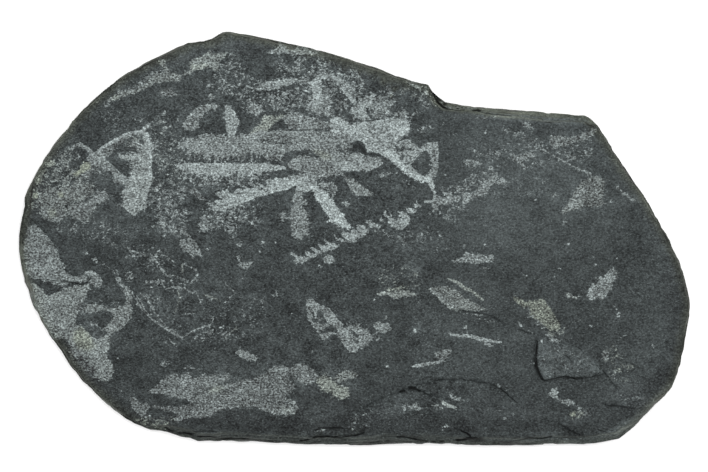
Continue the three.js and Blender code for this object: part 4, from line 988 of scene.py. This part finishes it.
    def _lay_shade(self, shade: Shade) -> None:
        """Adds one broad change of the bare shale."""
        outline = points(shade.outline)
        fade = shade.fade * PLAN_STEP_MM
        rows = near(self.places, outline, fade)
        share = eased(depth_inside(self.places[rows], outline), -fade / 2, fade / 2)
        self.tone[rows] += share * shade.tone
        self.calm[rows] += share * (shade.calm - self.calm[rows])

    def _shade_groove(self, crack: Crack, path: np.ndarray) -> None:
        """Paints shade at the foot of one groove."""
        half = crack.width * PLAN_STEP_MM / 2
        rows = near(self.places, path, 2 * half)
        gap = gap_to_path(self.places[rows], path, closed=False)
        deepest = min(1.0, self.GROOVE_SHADE + crack.depth / DEEP_CRACK_MM * self.GROOVE_DEEPENS)
        dark = across(gap, half, self.GROOVE_REACH) * deepest
        self.groove_shade[rows] = np.maximum(self.groove_shade[rows], dark)


@dataclass(frozen=True)
class Grain:
    """One random pattern.

    Attributes:
        per_mm: how fine it is.
        detail: how many finer layers it has.
        roughness: how strong the finer layers are.
        span: how far from its mean the pattern reaches 0 and 1.
        swirl: how far it is drawn out into threads.
    """

    per_mm: float
    detail: float = 2.0
    roughness: float = 0.5
    span: float = 0.2
    swirl: float = 0.0


class Graph:
    """Adds and joins the nodes of one material."""

    # How far from its mean a pattern still shows as a thread.
    THREAD_EDGE = 0.24

    def __init__(self, material: bpy.types.Material) -> None:
        """Empties the material's node tree.

        Args:
            material: the material to work in.
        """
        material.use_nodes = True
        self.tree = material.node_tree
        self.tree.nodes.clear()

    def add(self, kind: str, inputs: dict | None = None, **settings: object) -> bpy.types.Node:
        """Adds a node.

        Args:
            kind: the node's type name.
            inputs: its sockets by name or number, each a value or a socket to join.
            settings: the node's own properties.

        Returns:
            The new node.
        """
        node = self.tree.nodes.new(kind)
        for name, value in settings.items():
            setattr(node, name, value)
        for name, value in (inputs or {}).items():
            if isinstance(value, bpy.types.NodeSocket):
                self.tree.links.new(value, node.inputs[name])
            else:
                node.inputs[name].default_value = value
        return node

    def mask(self, name: str) -> bpy.types.NodeSocket:
        """Reads one of the mesh's own values."""
        return self.add("ShaderNodeAttribute", attribute_name=name).outputs["Fac"]

    def math(self, operation: str, *values: object, clamp: bool = False) -> bpy.types.NodeSocket:
        """Works out one step of arithmetic on numbers or sockets; clamp keeps it from 0 to 1."""
        node = self.add("ShaderNodeMath", dict(enumerate(values)), operation=operation, use_clamp=clamp)
        return node.outputs[0]

    def spread(self, value: object, low: float, high: float, start: object = 0.0,
               end: object = 1.0) -> bpy.types.NodeSocket:
        """Maps low..high to start..end, and holds it there."""
        node = self.add("ShaderNodeMapRange", {
            "Value": value, "From Min": low, "From Max": high, "To Min": start, "To Max": end,
        })
        return node.outputs[0]

    def mix(self, share: object, first: object, second: object) -> bpy.types.NodeSocket:
        """Goes from the first number to the second by a share."""
        node = self.add("ShaderNodeMix", {"Factor": share, "A": first, "B": second}, data_type="FLOAT")
        return node.outputs["Result"]

    def scaled(self, place: object, factor: object) -> bpy.types.NodeSocket:
        """Multiplies a place or a colour by one number."""
        node = self.add("ShaderNodeVectorMath", {0: place, "Scale": factor}, operation="SCALE")
        return node.outputs[0]

    def drawn_out(self, place: object, factors: object) -> bpy.types.NodeSocket:
        """Multiplies a place by a number for each axis."""
        node = self.add("ShaderNodeVectorMath", {0: place, 1: factors}, operation="MULTIPLY")
        return node.outputs[0]

    def blend(self, share: object, first: object, second: object) -> bpy.types.NodeSocket:
        """Goes from the first colour to the second by a share, on the Mix node's colour sockets."""
        node = self.add("ShaderNodeMix", {0: share, 6: first, 7: second}, data_type="RGBA")
        return node.outputs[2]

    def grain(self, place: bpy.types.NodeSocket, grain: Grain) -> bpy.types.NodeSocket:
        """Adds a random pattern from 0 to 1, read at a place in millimetres."""
        node = self.add("ShaderNodeTexNoise", {
            "Vector": place, "Scale": grain.per_mm, "Detail": grain.detail,
            "Roughness": grain.roughness, "Distortion": grain.swirl,
        })
        return self.spread(node.outputs["Fac"], MEAN - grain.span, MEAN + grain.span)

    def threads(self, place: bpy.types.NodeSocket, grain: Grain) -> bpy.types.NodeSocket:
        """Adds thin threads, 1 where a random pattern passes its mean and falling to 0 beside it."""
        away = self.math("ABSOLUTE", self.math("SUBTRACT", self.grain(place, grain), MEAN))
        return self.spread(away, 0.0, self.THREAD_EDGE, 1.0, 0.0)

    def around(self, pattern: bpy.types.NodeSocket, mean: float, swing: object) -> bpy.types.NodeSocket:
        """Turns a pattern into a change about 0, as strong as swing."""
        return self.math("MULTIPLY", self.math("SUBTRACT", pattern, mean), swing)

    def total(self, *parts: object) -> bpy.types.NodeSocket:
        """Adds numbers and sockets up."""
        result = parts[0]
        for part in parts[1:]:
            result = self.math("ADD", result, part)
        return result


@dataclass(frozen=True)
class Weave:
    """The random patterns that the shale and its films share, each from 0 to 1.

    Attributes:
        fine: the stone's grain.
        threads: light threads a tenth of a millimetre wide.
        speck: the ragged grains that break a film up.
        clump: the knots that the grains gather in.
        pepper: the finest grain.
        mottle: patches about a millimetre wide.
        cloud: slow changes over the whole face.
    """

    fine: bpy.types.NodeSocket
    threads: bpy.types.NodeSocket
    speck: bpy.types.NodeSocket
    clump: bpy.types.NodeSocket
    pepper: bpy.types.NodeSocket
    mottle: bpy.types.NodeSocket
    cloud: bpy.types.NodeSocket


@dataclass(frozen=True)
class Swings:
    """How strongly each pattern of the weave shows in one surface, below 0 for the other way round."""

    fine: float = 0.0
    threads: float = 0.0
    speck: float = 0.0
    clump: float = 0.0
    pepper: float = 0.0
    mottle: float = 0.0
    cloud: float = 0.0


@dataclass(frozen=True)
class ShaleFinish:
    """Black shale with silvery films.

    Attributes:
        shale: lightness of the bare face, as the eye sees it.
        edge: lightness of the broken sides.
        film: lightness of the dullest film.
        shine: what the brightest film adds to it, partly the film's own lighter colour and partly its
            painted sheen.
        shale_tint, silver_tint, straw_tint, edge_tint: colours of the bare face, the films, the
            yellowed films and the weathered sides.
        gamma: power from lightness to reflected light.
        shale_roughness, film_roughness: roughness of the bare face and of the films.
        sheen: how strongly the surface mirrors, as the shader counts it.
        relief: height of the finest grain, in metres.
        relief_strength: how strongly the grain turns the light.
        relief_pepper: share of the finest grain in the relief.
        coarse, even, silvery: how the patterns show in coarse shale, smooth shale and films.
        torn: how they break a film up.
        side_grain: how strongly the stone's grain shows in the sides.
        bed_swing: how strongly the beds show.
        bed_gaps: where in the beds' pattern the painted shade in the gaps between beds ends and starts.
        bed_gap_shade: what the painted shade in such a gap leaves of the lightness.
        glints: where in the finest grain the shale's sparse bright specks, light grains with painted
            glints, start and are full.
        dense: the covers from which a film closes up, and is closed.
        dense_gain: what closing up adds to the cover.
        grain_edge: how soft the border of a film's grain is.
        least_cover: the covers from which a film starts to show, and shows in full.
        divisor: the least cover that a share is divided by.
        straw_pepper: where in the finest grain the straw is full, and the least that is left of it.
        crack_swing: how strongly the stone's grain frays the painted shade in a crack.
        crack: the groove shade from which a crack's painted shade starts to darken the stone, and is
            darkest.
        crack_foot_shade: what the painted shade at the foot of a crack leaves of the lightness.
        darkest: the least lightness.
        draw, bed_draw: how the patterns, and the beds in the sides, are drawn out.
        fine, threads, speck, clump, pepper, mottle, cloud: the weave's patterns of these names.
        beds: the thin beds in the sides.
    """

    shale: float = 0.221
    edge: float = 0.27
    film: float = 0.205
    shine: float = 0.405
    shale_tint: tuple[float, float, float, float] = (0.745, 0.875, 0.885, 1.0)
    silver_tint: tuple[float, float, float, float] = (0.685, 0.79, 0.785, 1.0)
    straw_tint: tuple[float, float, float, float] = (0.70, 0.795, 0.63, 1.0)
    edge_tint: tuple[float, float, float, float] = (0.79, 0.872, 0.695, 1.0)
    gamma: float = 2.2
    shale_roughness: float = 0.78
    film_roughness: float = 0.55
    sheen: float = 0.12
    relief: float = 0.00003
    relief_strength: float = 0.6
    relief_pepper: float = 0.3
    coarse: Swings = Swings(fine=0.14, threads=0.08, pepper=0.14, mottle=0.10, cloud=0.04)
    even: Swings = Swings(fine=0.13, threads=0.04, pepper=0.10, mottle=0.05)
    silvery: Swings = Swings(
        fine=0.40, threads=0.07, speck=-0.06, clump=-0.10, pepper=0.30, mottle=0.10,
    )
    torn: Swings = Swings(threads=0.22, clump=0.55)
    side_grain: float = 0.16
    bed_swing: float = 0.26
    bed_gaps: tuple[float, float] = (0.08, 0.22)
    bed_gap_shade: float = 0.45
    glints: tuple[float, float] = (0.80, 1.0)
    dense: tuple[float, float] = (0.60, 0.86)
    dense_gain: float = 0.55
    grain_edge: float = 0.15
    least_cover: tuple[float, float] = (0.02, 0.12)
    divisor: float = 0.05
    straw_pepper: tuple[float, float] = (0.5, 0.6)
    crack_swing: float = 0.5
    crack: tuple[float, float] = (0.25, 0.95)
    crack_foot_shade: float = 0.28
    darkest: float = 0.02
    draw: tuple[float, float, float] = (0.85, 1.1, 1.0)
    bed_draw: tuple[float, float, float] = (0.25, 0.25, 2.4)
    fine: Grain = Grain(5.6, 3.0, 0.6, 0.19)
    threads: Grain = Grain(2.8, 1.5, 0.6, 0.20, 0.6)
    speck: Grain = Grain(3.4, 3.0, 0.80, 0.14, 0.35)
    clump: Grain = Grain(1.3, 2.0, 0.55, 0.20, 0.5)
    pepper: Grain = Grain(8.0, 1.0, 0.5, 0.20)
    mottle: Grain = Grain(0.8, 3.0, 0.6, 0.20)
    cloud: Grain = Grain(0.16, 2.0, 0.5, 0.20)
    beds: Grain = Grain(0.9, 4.0)

    def material(self) -> bpy.types.Material:
        """Makes the shale's material.

        Returns:
            The material, read from the slab's own values and places.
        """
        material = bpy.data.materials.new("black_shale")
        graph = Graph(material)
        metres = graph.add("ShaderNodeTexCoord").outputs["Object"]
        place = graph.scaled(metres, 1 / MM)
        drawn = graph.drawn_out(place, self.draw)
        weave = Weave(
            fine=graph.grain(drawn, self.fine),
            threads=graph.threads(drawn, self.threads),
            speck=graph.grain(drawn, self.speck),
            clump=graph.grain(drawn, self.clump),
            pepper=graph.grain(drawn, self.pepper),
            mottle=graph.grain(drawn, self.mottle),
            cloud=graph.grain(place, self.cloud),
        )
        shale = self._shale(graph, weave)
        film, share = self._film(graph, weave)
        edge = self._edge(graph, place, weave)
        lightness = graph.mix(graph.mask("side"), graph.mix(share, shale, film), edge)
        # Painted shade at the foot of each crack, frayed by the stone's grain, darkens the lightness.
        frayed = graph.total(graph.mask("groove_shade"), graph.around(weave.fine, MEAN, self.crack_swing))
        groove_shade = graph.spread(frayed, *self.crack, 1.0, self.crack_foot_shade)
        lightness = graph.math("MULTIPLY", lightness, groove_shade)
        strength = graph.math("POWER", graph.math("MAXIMUM", lightness, self.darkest), self.gamma)
        colour = graph.scaled(self._tint(graph, share, weave), strength)
        bump = graph.add("ShaderNodeBump", {
            "Height": graph.mix(self.relief_pepper, weave.fine, weave.pepper),
            "Distance": self.relief,
            "Strength": self.relief_strength,
        })
        roughness = graph.mix(share, self.shale_roughness, self.film_roughness)
        surface = graph.add("ShaderNodeBsdfPrincipled", {
            "Base Color": colour,
            "Roughness": roughness,
            "Specular IOR Level": self.sheen,
            "Normal": bump.outputs["Normal"],
        })
        graph.add("ShaderNodeOutputMaterial", {"Surface": surface.outputs["BSDF"]})
        return material

    def _shale(self, graph: Graph, weave: Weave) -> bpy.types.NodeSocket:
        """Gives the bare face's lightness: dark mottled stone with sparse lighter grains that carry painted
        glints.
        """
        calm = graph.mask("calm")
        coarse, even = self.coarse, self.even
        # Sparse light grains with painted glints, from the finest grain.
        glints = graph.spread(weave.pepper, *self.glints)
        return graph.total(
            graph.math("ADD", graph.mask("tone"), self.shale),
            graph.around(weave.fine, MEAN, graph.mix(calm, coarse.fine, even.fine)),
            graph.around(weave.threads, THREADS_MEAN, graph.mix(calm, coarse.threads, even.threads)),
            graph.math("MULTIPLY", glints, graph.mix(calm, coarse.pepper, even.pepper)),
            graph.around(weave.mottle, MEAN, graph.mix(calm, coarse.mottle, even.mottle)),
            graph.around(weave.cloud, MEAN, coarse.cloud),
        )

    def _film(self, graph: Graph, weave: Weave) -> tuple[bpy.types.NodeSocket, bpy.types.NodeSocket]:
        """Gives the films' lightness, their own lighter colour with their silvery sheen painted in, and the
        share of the surface that they hide.
        """
        cover = graph.mask("film")
        threads = graph.around(weave.threads, THREADS_MEAN, self.torn.threads)
        grains = graph.math("SUBTRACT", weave.speck, threads)
        ragged = graph.total(grains, graph.around(weave.clump, MEAN, self.torn.clump))
        whole = graph.math("ADD", cover, graph.spread(cover, *self.dense, 0.0, self.dense_gain))
        share = graph.spread(graph.math("SUBTRACT", whole, ragged), -self.grain_edge, self.grain_edge)
        share = graph.math("MULTIPLY", share, graph.spread(cover, *self.least_cover))
        shine = graph.math("DIVIDE", graph.mask("silver"), graph.math("MAXIMUM", cover, self.divisor))
        # The film's own lighter colour and its painted sheen, set by its shine.
        lightness = graph.total(
            graph.math("MULTIPLY_ADD", shine, self.shine, self.film),
            graph.around(weave.fine, MEAN, self.silvery.fine),
            graph.around(weave.pepper, MEAN, self.silvery.pepper),
            graph.around(weave.speck, MEAN, self.silvery.speck),
            graph.around(weave.threads, THREADS_MEAN, self.silvery.threads),
            graph.around(weave.clump, MEAN, self.silvery.clump),
            graph.around(weave.mottle, MEAN, self.silvery.mottle),
        )
        return lightness, share

    def _edge(self, graph: Graph, place: bpy.types.NodeSocket, weave: Weave) -> bpy.types.NodeSocket:
        """Gives the broken sides' lightness: thin beds, lighter and darker by turns, with painted shade in
        the gaps between them.
        """
        layer = graph.grain(graph.drawn_out(place, self.bed_draw), self.beds)
        grains = graph.total(
            graph.math("ADD", graph.mask("tone"), self.edge),
            graph.around(layer, MEAN, self.bed_swing),
            graph.around(weave.fine, MEAN, self.side_grain),
        )
        # Painted shade in the gaps between the beds.
        gaps = graph.spread(layer, *self.bed_gaps, self.bed_gap_shade, 1.0)
        return graph.math("MULTIPLY", grains, gaps)

    def _tint(self, graph: Graph, share: bpy.types.NodeSocket, weave: Weave) -> bpy.types.NodeSocket:
        """Gives the colour: blue-grey shale, silver and straw films, olive sides."""
        cover = graph.math("MAXIMUM", graph.mask("film"), self.divisor)
        straw = graph.math("DIVIDE", graph.mask("straw"), cover)
        full, least = self.straw_pepper
        yellowed = graph.math("MULTIPLY", straw, graph.spread(weave.pepper, 0.0, full, least, 1.0))
        film = graph.blend(yellowed, self.silver_tint, self.straw_tint)
        face = graph.blend(share, self.shale_tint, film)
        return graph.blend(graph.mask("weathered"), face, self.edge_tint)


@dataclass
class GraptoliteSlab:
    """The slab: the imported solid, cut fine enough to carry its films and cracks.

    Attributes:
        node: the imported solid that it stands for.
        finish: its material.
        square_mm: side of the squares that the slab is first cut into.
        plain_mm: longest edge on the plain upper face.
        face_mm: longest edge along the soft border of a film.
        film_mm: longest edge along the clear border of a film.
        line_mm: longest edge along a crack, a thread or a crisp border.
        side_mm: longest edge on the broken sides.
        underside_mm: longest edge on the underside.
        sway_mm: how far the face rises and falls over the slab.
        bed_mm: how deep the beds in the sides are worn back.
        chip_mm: how deep the chips in the outline are.
        spare_mm: how far the sides come out before they are worn back and chipped.
    """

    node: bpy.types.Object
    finish: ShaleFinish = ShaleFinish()
    square_mm: float = 1.92
    plain_mm: float = 0.49
    face_mm: float = 0.36
    film_mm: float = 0.18
    line_mm: float = 0.13
    side_mm: float = 0.62
    underside_mm: float = 1.4
    sway_mm: float = 0.04
    bed_mm: float = 0.12
    chip_mm: float = 0.16
    spare_mm: float = 0.12

    # The directions in which the outline is measured, and the cells of the plan of edge lengths.
    OUTLINE_TURNS = 720
    CELLS_PER_MM = 10
    # How often long edges are divided at most, and the edges that are closed up.
    ROUNDS = 7
    SHORTEST_MM = 0.004
    # The upright part of a normal on the face and, below 0, on the underside.
    FLAT = 0.8
    # Borders that fade over more plan steps are soft, and over no more than these crisp.
    SOFT_FADE = 2.4
    CRISP_FADE = 1.0
    # How far below the highest point the face starts and is full.
    FACE_STARTS_MM = 2.2
    FACE_FULL_MM = 1.2
    # The upright parts of a normal between which the face, the sides' end, the films, the cracks' painted
    # shade and the shades come in.
    FACING_UP = (0.35, 0.85)
    SLOPING = (0.55, 0.95)
    FILM_TILT = (0.15, 0.45)
    CRACK_TILT = (0.05, 0.30)
    SHADE_TILT = (0.0, 0.25)
    # The covers between which a film hides the weathering, and what is left under it.
    HIDING = (0.3, 0.8)
    UNDER_FILM = 0.3
    # Where the weathering ends, in from the outline, on the sides and, weaker, on the face; and
    # where the fresher stone at the foot of the plan ends, in Y.
    WEATHERED_SIDES_MM = (0.8, 2.0)
    WEATHERED_RIM_MM = (0.3, 1.1)
    RIM_SHARE = 0.7
    FRESH_MM = (-19.0, -14.0)
    FRESHER = 0.5
    # The heights between which the sway comes in.
    SWAY_RISE_MM = (3.0, 6.8)
    # How often the sway, the beds (along the slab and up) and the chips come.
    SWAY_PER_MM = 0.12
    BED_ALONG_PER_MM = 0.3
    BED_UP_PER_MM = 3.2
    CHIPS_PER_MM = 0.9

    def build(self) -> bpy.types.Object:
        """Makes the slab's mesh.

        Returns:
            The finished piece, with its values and its material.
        """
        mesh = bpy.data.meshes.new("graptolite_slab")
        bm = bmesh.new()
        bm.from_mesh(self.node.data)
        bmesh.ops.remove_doubles(bm, verts=bm.verts, dist=0.001 * MM)
        bmesh.ops.dissolve_limit(bm, angle_limit=math.radians(0.2), verts=bm.verts, edges=bm.edges)
        self._cut_squares(bm)
        self._nudge(bm)
        bmesh.ops.triangulate(bm, faces=bm.faces)
        self._refine(bm)
        bm.to_mesh(mesh)
        bm.free()
        piece = bpy.data.objects.new("graptolite_slab", mesh)
        bpy.context.scene.collection.objects.link(piece)
        self._carve(mesh)
        for polygon in mesh.polygons:
            polygon.use_smooth = True
        mesh.set_sharp_from_angle(angle=math.radians(40))
        mesh.materials.append(self.finish.material())
        return piece

    def _cut_squares(self, bm: bmesh.types.BMesh) -> None:
        """Cuts the slab along two sets of upright planes, so that its faces are even."""
        low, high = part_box("shale_slab")
        for axis in (0, 1):
            along = Vector((0.0, 0.0, 0.0))
            along[axis] = 1.0
            count = int((high[axis] - low[axis]) / (self.square_mm * MM))
            for step in range(1, count + 1):
                bmesh.ops.bisect_plane(
                    bm, geom=bm.verts[:] + bm.edges[:] + bm.faces[:], dist=0.002 * MM,
                    plane_co=along * (low[axis] + step * self.square_mm * MM), plane_no=along,
                )

    def _nudge(self, bm: bmesh.types.BMesh) -> None:
        """Moves stretches of the outline a little out or in."""
        for nudge in NUDGES:
            middle = Vector((*points(nudge.at)[0], 0.0)) * MM
            outward = middle.normalized() * nudge.push * MM
            for vert in bm.verts:
                gap = (vert.co.xy - middle.xy).length / (nudge.reach * MM)
                vert.co += outward * math.exp(-gap * gap)

    def _limits(self) -> tuple[np.ndarray, np.ndarray]:
        """Works out how long an edge may be in each cell of a fine plan of the face.

        Returns:
            The longest edge in each cell, and the corner where the cells start, in millimetres.
        """
        low, high = (np.array(corner)[:2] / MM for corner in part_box("shale_slab"))
        cells = self.CELLS_PER_MM
        limits = np.full(np.ceil((high - low) * cells).astype(int) + 3, self.plain_mm)
        paths = [(np.vstack([loop, loop[:1]]), self._border_limit(film))
                 for film in FILMS for loop in strokes(film.outline)]
        paths += [(path, self.line_mm) for line in HAIRS + CRACKS for path in strokes(line.paths)]
        paths += [(tooth, self.line_mm) for comb in COMBS for tooth in teeth(comb)]
        paths += [(np.repeat(points(fleck), 2, axis=0), self.line_mm) for fleck in FLECKS.split()]
        for path, limit in sorted(paths, key=lambda pair: -pair[1]):
            self._limit_along(limits, (path - low) * cells, limit)
        return limits, low

    def _border_limit(self, film: Film) -> float:
        """Chooses the longest edge along a film's border: the softer the border, the longer."""
        if film.fade > self.SOFT_FADE:
            return self.face_mm
        return self.film_mm if film.fade > self.CRISP_FADE else self.line_mm

    def _limit_along(self, limits: np.ndarray, path: np.ndarray, limit: float) -> None:
        """Sets the longest edge in the cells beside one path.

        Args:
            limits: the cells.
            path: the path, counted in cells.
            limit: the longest edge there, in millimetres.
        """
        for start, end in zip(path[:-1], path[1:]):
            count = int(np.linalg.norm(end - start) * 2) + 2
            spots = start + np.linspace(0, 1, count)[:, None] * (end - start)
            column, row = spots.astype(int).clip(1, np.array(limits.shape) - 2).T
            for right in (-1, 0, 1):
                for up in (-1, 0, 1):
                    limits[column + right, row + up] = limit

    def _refine(self, bm: bmesh.types.BMesh) -> None:
        """Divides long edges until each is short enough for the surface it lies on."""
        limits, low = self._limits()
        cells = self.CELLS_PER_MM
        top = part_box("shale_slab")[1].z - self.FACE_FULL_MM * MM
        for _ in range(self.ROUNDS):
            bm.normal_update()
            long_edges = []
            for edge in bm.edges:
                middle = (edge.verts[0].co + edge.verts[1].co) / 2
                rise = max(face.normal.z for face in edge.link_faces)
                dip = min(face.normal.z for face in edge.link_faces)
                limit = self.side_mm
                if rise > self.FLAT and middle.z > top:
                    column = int((middle.x / MM - low[0]) * cells)
                    row = int((middle.y / MM - low[1]) * cells)
                    limit = limits[column, row]
                elif dip < -self.FLAT:
                    limit = self.underside_mm
                if edge.calc_length() > limit * MM:
                    long_edges.append(edge)
            if not long_edges:
                break
            bmesh.ops.subdivide_edges(
                bm, edges=long_edges, cuts=1, use_grid_fill=True, use_single_edge=True,
            )
            bmesh.ops.triangulate(bm, faces=[face for face in bm.faces if len(face.verts) > 3])
        bmesh.ops.dissolve_degenerate(bm, dist=self.SHORTEST_MM * MM, edges=bm.edges)
        bmesh.ops.triangulate(bm, faces=[face for face in bm.faces if len(face.verts) > 3])

    def _carve(self, mesh: bpy.types.Mesh) -> None:
        """Shapes the surface and gives each vertex its values.

        Args:
            mesh: the refined slab.
        """
        count = len(mesh.vertices)
        places, normals = np.empty(count * 3), np.empty(count * 3)
        mesh.vertices.foreach_get("co", places)
        mesh.vertices.foreach_get("normal", normals)
        places, normals = places.reshape(-1, 3) / MM, normals.reshape(-1, 3)
        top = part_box("shale_slab")[1].z / MM
        upward = eased(normals[:, 2], *self.FACING_UP)
        upward *= eased(places[:, 2], top - self.FACE_STARTS_MM, top - self.FACE_FULL_MM)
        drawing = BeddingFace(places[:, :2].copy())
        self._paint(mesh, drawing, places, normals[:, 2], upward)
        places[:, 2] += self._sway(places) * eased(places[:, 2], *self.SWAY_RISE_MM)
        # The value that paints shade at each crack's foot also cuts its groove.
        places[:, 2] -= drawing.groove_shade * DEEP_CRACK_MM * upward
        side = 1.0 - eased(np.abs(normals[:, 2]), *self.SLOPING)
        outward = (self.spare_mm - self._beds(places) - self._chips(places)) * side
        places[:, :2] += outward[:, None] * normals[:, :2]
        low, high = (np.array(corner)[:2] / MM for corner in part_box("shale_slab"))
        places[:, :2] = places[:, :2].clip(low, high)
        mesh.vertices.foreach_set("co", (places * MM).ravel())
        mesh.update()

    def _paint(self, mesh: bpy.types.Mesh, drawing: BeddingFace, places: np.ndarray,
               tilt: np.ndarray, upward: np.ndarray) -> None:
        """Gives each vertex the values that the material reads.

        Args:
            mesh: the refined slab.
            drawing: the drawing on its face.
            places: the vertices, in millimetres.
            tilt: the upright part of each one's normal.
            upward: how far each one belongs to the upper face.
        """
        open_rim = eased(tilt, *self.FILM_TILT)
        bare = 1.0 - eased(drawing.film * open_rim, *self.HIDING)
        for name in ("film", "silver", "straw"):
            self._store(mesh, name, getattr(drawing, name) * open_rim)
        # Painted shade at the cracks' foot, on the parts that face up.
        self._store(mesh, "groove_shade", drawing.groove_shade * eased(tilt, *self.CRACK_TILT))
        self._store(mesh, "tone", drawing.tone * eased(tilt, *self.SHADE_TILT))
        self._store(mesh, "calm", drawing.calm)
        self._store(mesh, "side", (1.0 - eased(tilt, *self.FACING_UP)) * bare)
        left = self.UNDER_FILM + (1.0 - self.UNDER_FILM) * bare
        self._store(mesh, "weathered", self._weathering(places, upward) * left)

    def _store(self, mesh: bpy.types.Mesh, name: str, values: np.ndarray) -> None:
        """Keeps one value for each vertex under a name."""
        mesh.attributes.new(name, "FLOAT", "POINT").data.foreach_set("value", values.astype(np.float32))

    def _weathering(self, places: np.ndarray, upward: np.ndarray) -> np.ndarray:
        """Works out how olive-brown each vertex is: on the outer sides and the face's very rim.

        Args:
            places: the vertices, in millimetres.
            upward: how far each one faces up.

        Returns:
            The weathering, 0 to 1.
        """
        turned = np.arctan2(places[:, 1], places[:, 0]) / math.tau
        turn = (turned % 1.0 * self.OUTLINE_TURNS).astype(int)
        reach = np.linalg.norm(places[:, :2], axis=1)
        outline = np.zeros(self.OUTLINE_TURNS)
        np.maximum.at(outline, turn, reach)
        gap = outline[turn] - reach
        sides = (1.0 - upward) * (1.0 - eased(gap, *self.WEATHERED_SIDES_MM))
        rim = self.RIM_SHARE * (1.0 - eased(gap, *self.WEATHERED_RIM_MM))
        fresh = 1.0 - eased(places[:, 1], *self.FRESH_MM)
        return np.maximum(sides, rim) * (1.0 - self.FRESHER * fresh)

    def _sway(self, places: np.ndarray) -> np.ndarray:
        """Works out the face's slow rise and fall, in millimetres."""
        return self.sway_mm * np.array([
            rough_noise(x, y, self.SWAY_PER_MM) for x, y, _ in places
        ])

    def _beds(self, places: np.ndarray) -> np.ndarray:
        """Works out how far the beds in the sides are worn back, in millimetres."""
        along, up = self.BED_ALONG_PER_MM, self.BED_UP_PER_MM
        return np.array([
            self.bed_mm * (0.5 + 0.5 * noise.noise(Vector((x * along, y * along, z * up))))
            for x, y, z in places
        ])

    def _chips(self, places: np.ndarray) -> np.ndarray:
        """Works out how deep the chips in the outline are, in millimetres."""
        return self.chip_mm * np.array([
            max(0.0, rough_noise(x, y, self.CHIPS_PER_MM)) for x, y, _ in places
        ])


@dataclass(frozen=True)
class Studio:
    """The pale floor, the soft lights and the camera that looks straight down.

    Attributes:
        floor_size: side of the floor, in metres.
        floor_grey: how pale the floor is.
        sky: strength of the light from all round.
        above: light of the lamp overhead, as a share of a white floor's full brightness.
        beside: light of the lamp at the upper right, as the same share.
        lens_mm: focal length of the camera.
        sensor_mm: width of its picture.
        sharp_mm: height over the floor of the plane that fills its picture.
        overhead_place, overhead_size: where the lamp overhead hangs, and its side, in metres.
        side_place, side_size: the same of the lamp at the upper right.
        floor_gap_mm: how far the floor lies under the slab.
    """

    floor_size: float = 8.0
    floor_grey: float = 0.98
    sky: float = 0.50
    above: float = 1.05
    beside: float = 0.15
    lens_mm: float = 600.0
    sensor_mm: float = 36.0
    sharp_mm: float = 4.5
    overhead_place: tuple[float, float, float] = (0.01, 0.02, 1.40)
    overhead_size: float = 0.34
    side_place: tuple[float, float, float] = (0.50, 0.60, 1.05)
    side_size: float = 0.52
    floor_gap_mm: float = 0.02

    def build(self) -> None:
        """Sets up everything round the slab."""
        self._floor()
        self._world()
        self._lamp("overhead_lamp", Vector(self.overhead_place), self.overhead_size, self.above)
        self._lamp("side_lamp", Vector(self.side_place), self.side_size, self.beside)
        self._camera()
        bpy.context.scene.view_settings.view_transform = "Standard"

    def _floor(self) -> None:
        """Lays the floor under the slab."""
        bm = bmesh.new()
        bmesh.ops.create_grid(bm, x_segments=8, y_segments=8, size=self.floor_size / 2)
        mesh = bpy.data.meshes.new("floor")
        bm.to_mesh(mesh)
        bm.free()
        floor = bpy.data.objects.new("floor", mesh)
        bpy.context.scene.collection.objects.link(floor)
        floor.location.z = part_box("shale_slab")[0].z - self.floor_gap_mm * MM
        material = bpy.data.materials.new("pale_paper")
        graph = Graph(material)
        surface = graph.add("ShaderNodeBsdfPrincipled", {
            "Base Color": (self.floor_grey, self.floor_grey, self.floor_grey, 1.0),
            "Roughness": 0.9,
            "Specular IOR Level": 0.1,
        })
        graph.add("ShaderNodeOutputMaterial", {"Surface": surface.outputs["BSDF"]})
        mesh.materials.append(material)

    def _world(self) -> None:
        """Gives the even light from all round."""
        world = bpy.data.worlds.new("studio")
        world.use_nodes = True
        background = world.node_tree.nodes["Background"]
        background.inputs["Color"].default_value = (1.0, 1.0, 1.0, 1.0)
        background.inputs["Strength"].default_value = self.sky
        bpy.context.scene.world = world

    def _lamp(self, name: str, place: Vector, size: float, share: float) -> None:
        """Hangs one soft square lamp, turned to the slab.

        Args:
            name: the lamp's name.
            place: where it hangs, in metres.
            size: its side, in metres.
            share: the light that it gives a white floor at the slab's place.
        """
        light = bpy.data.lights.new(name, "AREA")
        light.size = size
        light.energy = share * math.pi**2 * place.length_squared * place.length / place.z
        lamp = bpy.data.objects.new(name, light)
        lamp.location = place
        lamp.rotation_euler = (-place).to_track_quat("-Z", "Y").to_euler()
        bpy.context.scene.collection.objects.link(lamp)

    def _camera(self) -> None:
        """Hangs the camera over the middle of the plan sheet, the top of the face upward."""
        lens = bpy.data.cameras.new("camera")
        lens.lens = self.lens_mm
        lens.sensor_width = self.sensor_mm
        width = PLAN_SIZE[0] * PLAN_STEP_MM * MM
        middle = (np.array(PLAN_SIZE) / 2 - PLAN_MIDDLE) * (PLAN_STEP_MM, -PLAN_STEP_MM) * MM
        camera = bpy.data.objects.new("camera", lens)
        height = self.sharp_mm * MM + width * self.lens_mm / self.sensor_mm
        camera.location = (middle[0], middle[1], height)
        lens.clip_start, lens.clip_end = 0.01, 10.0
        bpy.context.scene.collection.objects.link(camera)
        bpy.context.scene.camera = camera


def main() -> None:
    """Builds the slab and its studio, and reports each piece."""
    logging.basicConfig(level=logging.INFO, format="%(name)s: %(message)s")
    Studio().build()
    piece = GraptoliteSlab(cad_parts["shale_slab"]).build()
    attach(piece, "root")
    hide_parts("shale_slab")
    LOG.info("%s: %d triangles", piece.name, len(piece.data.polygons))


if __name__ == "__main__":
    main()
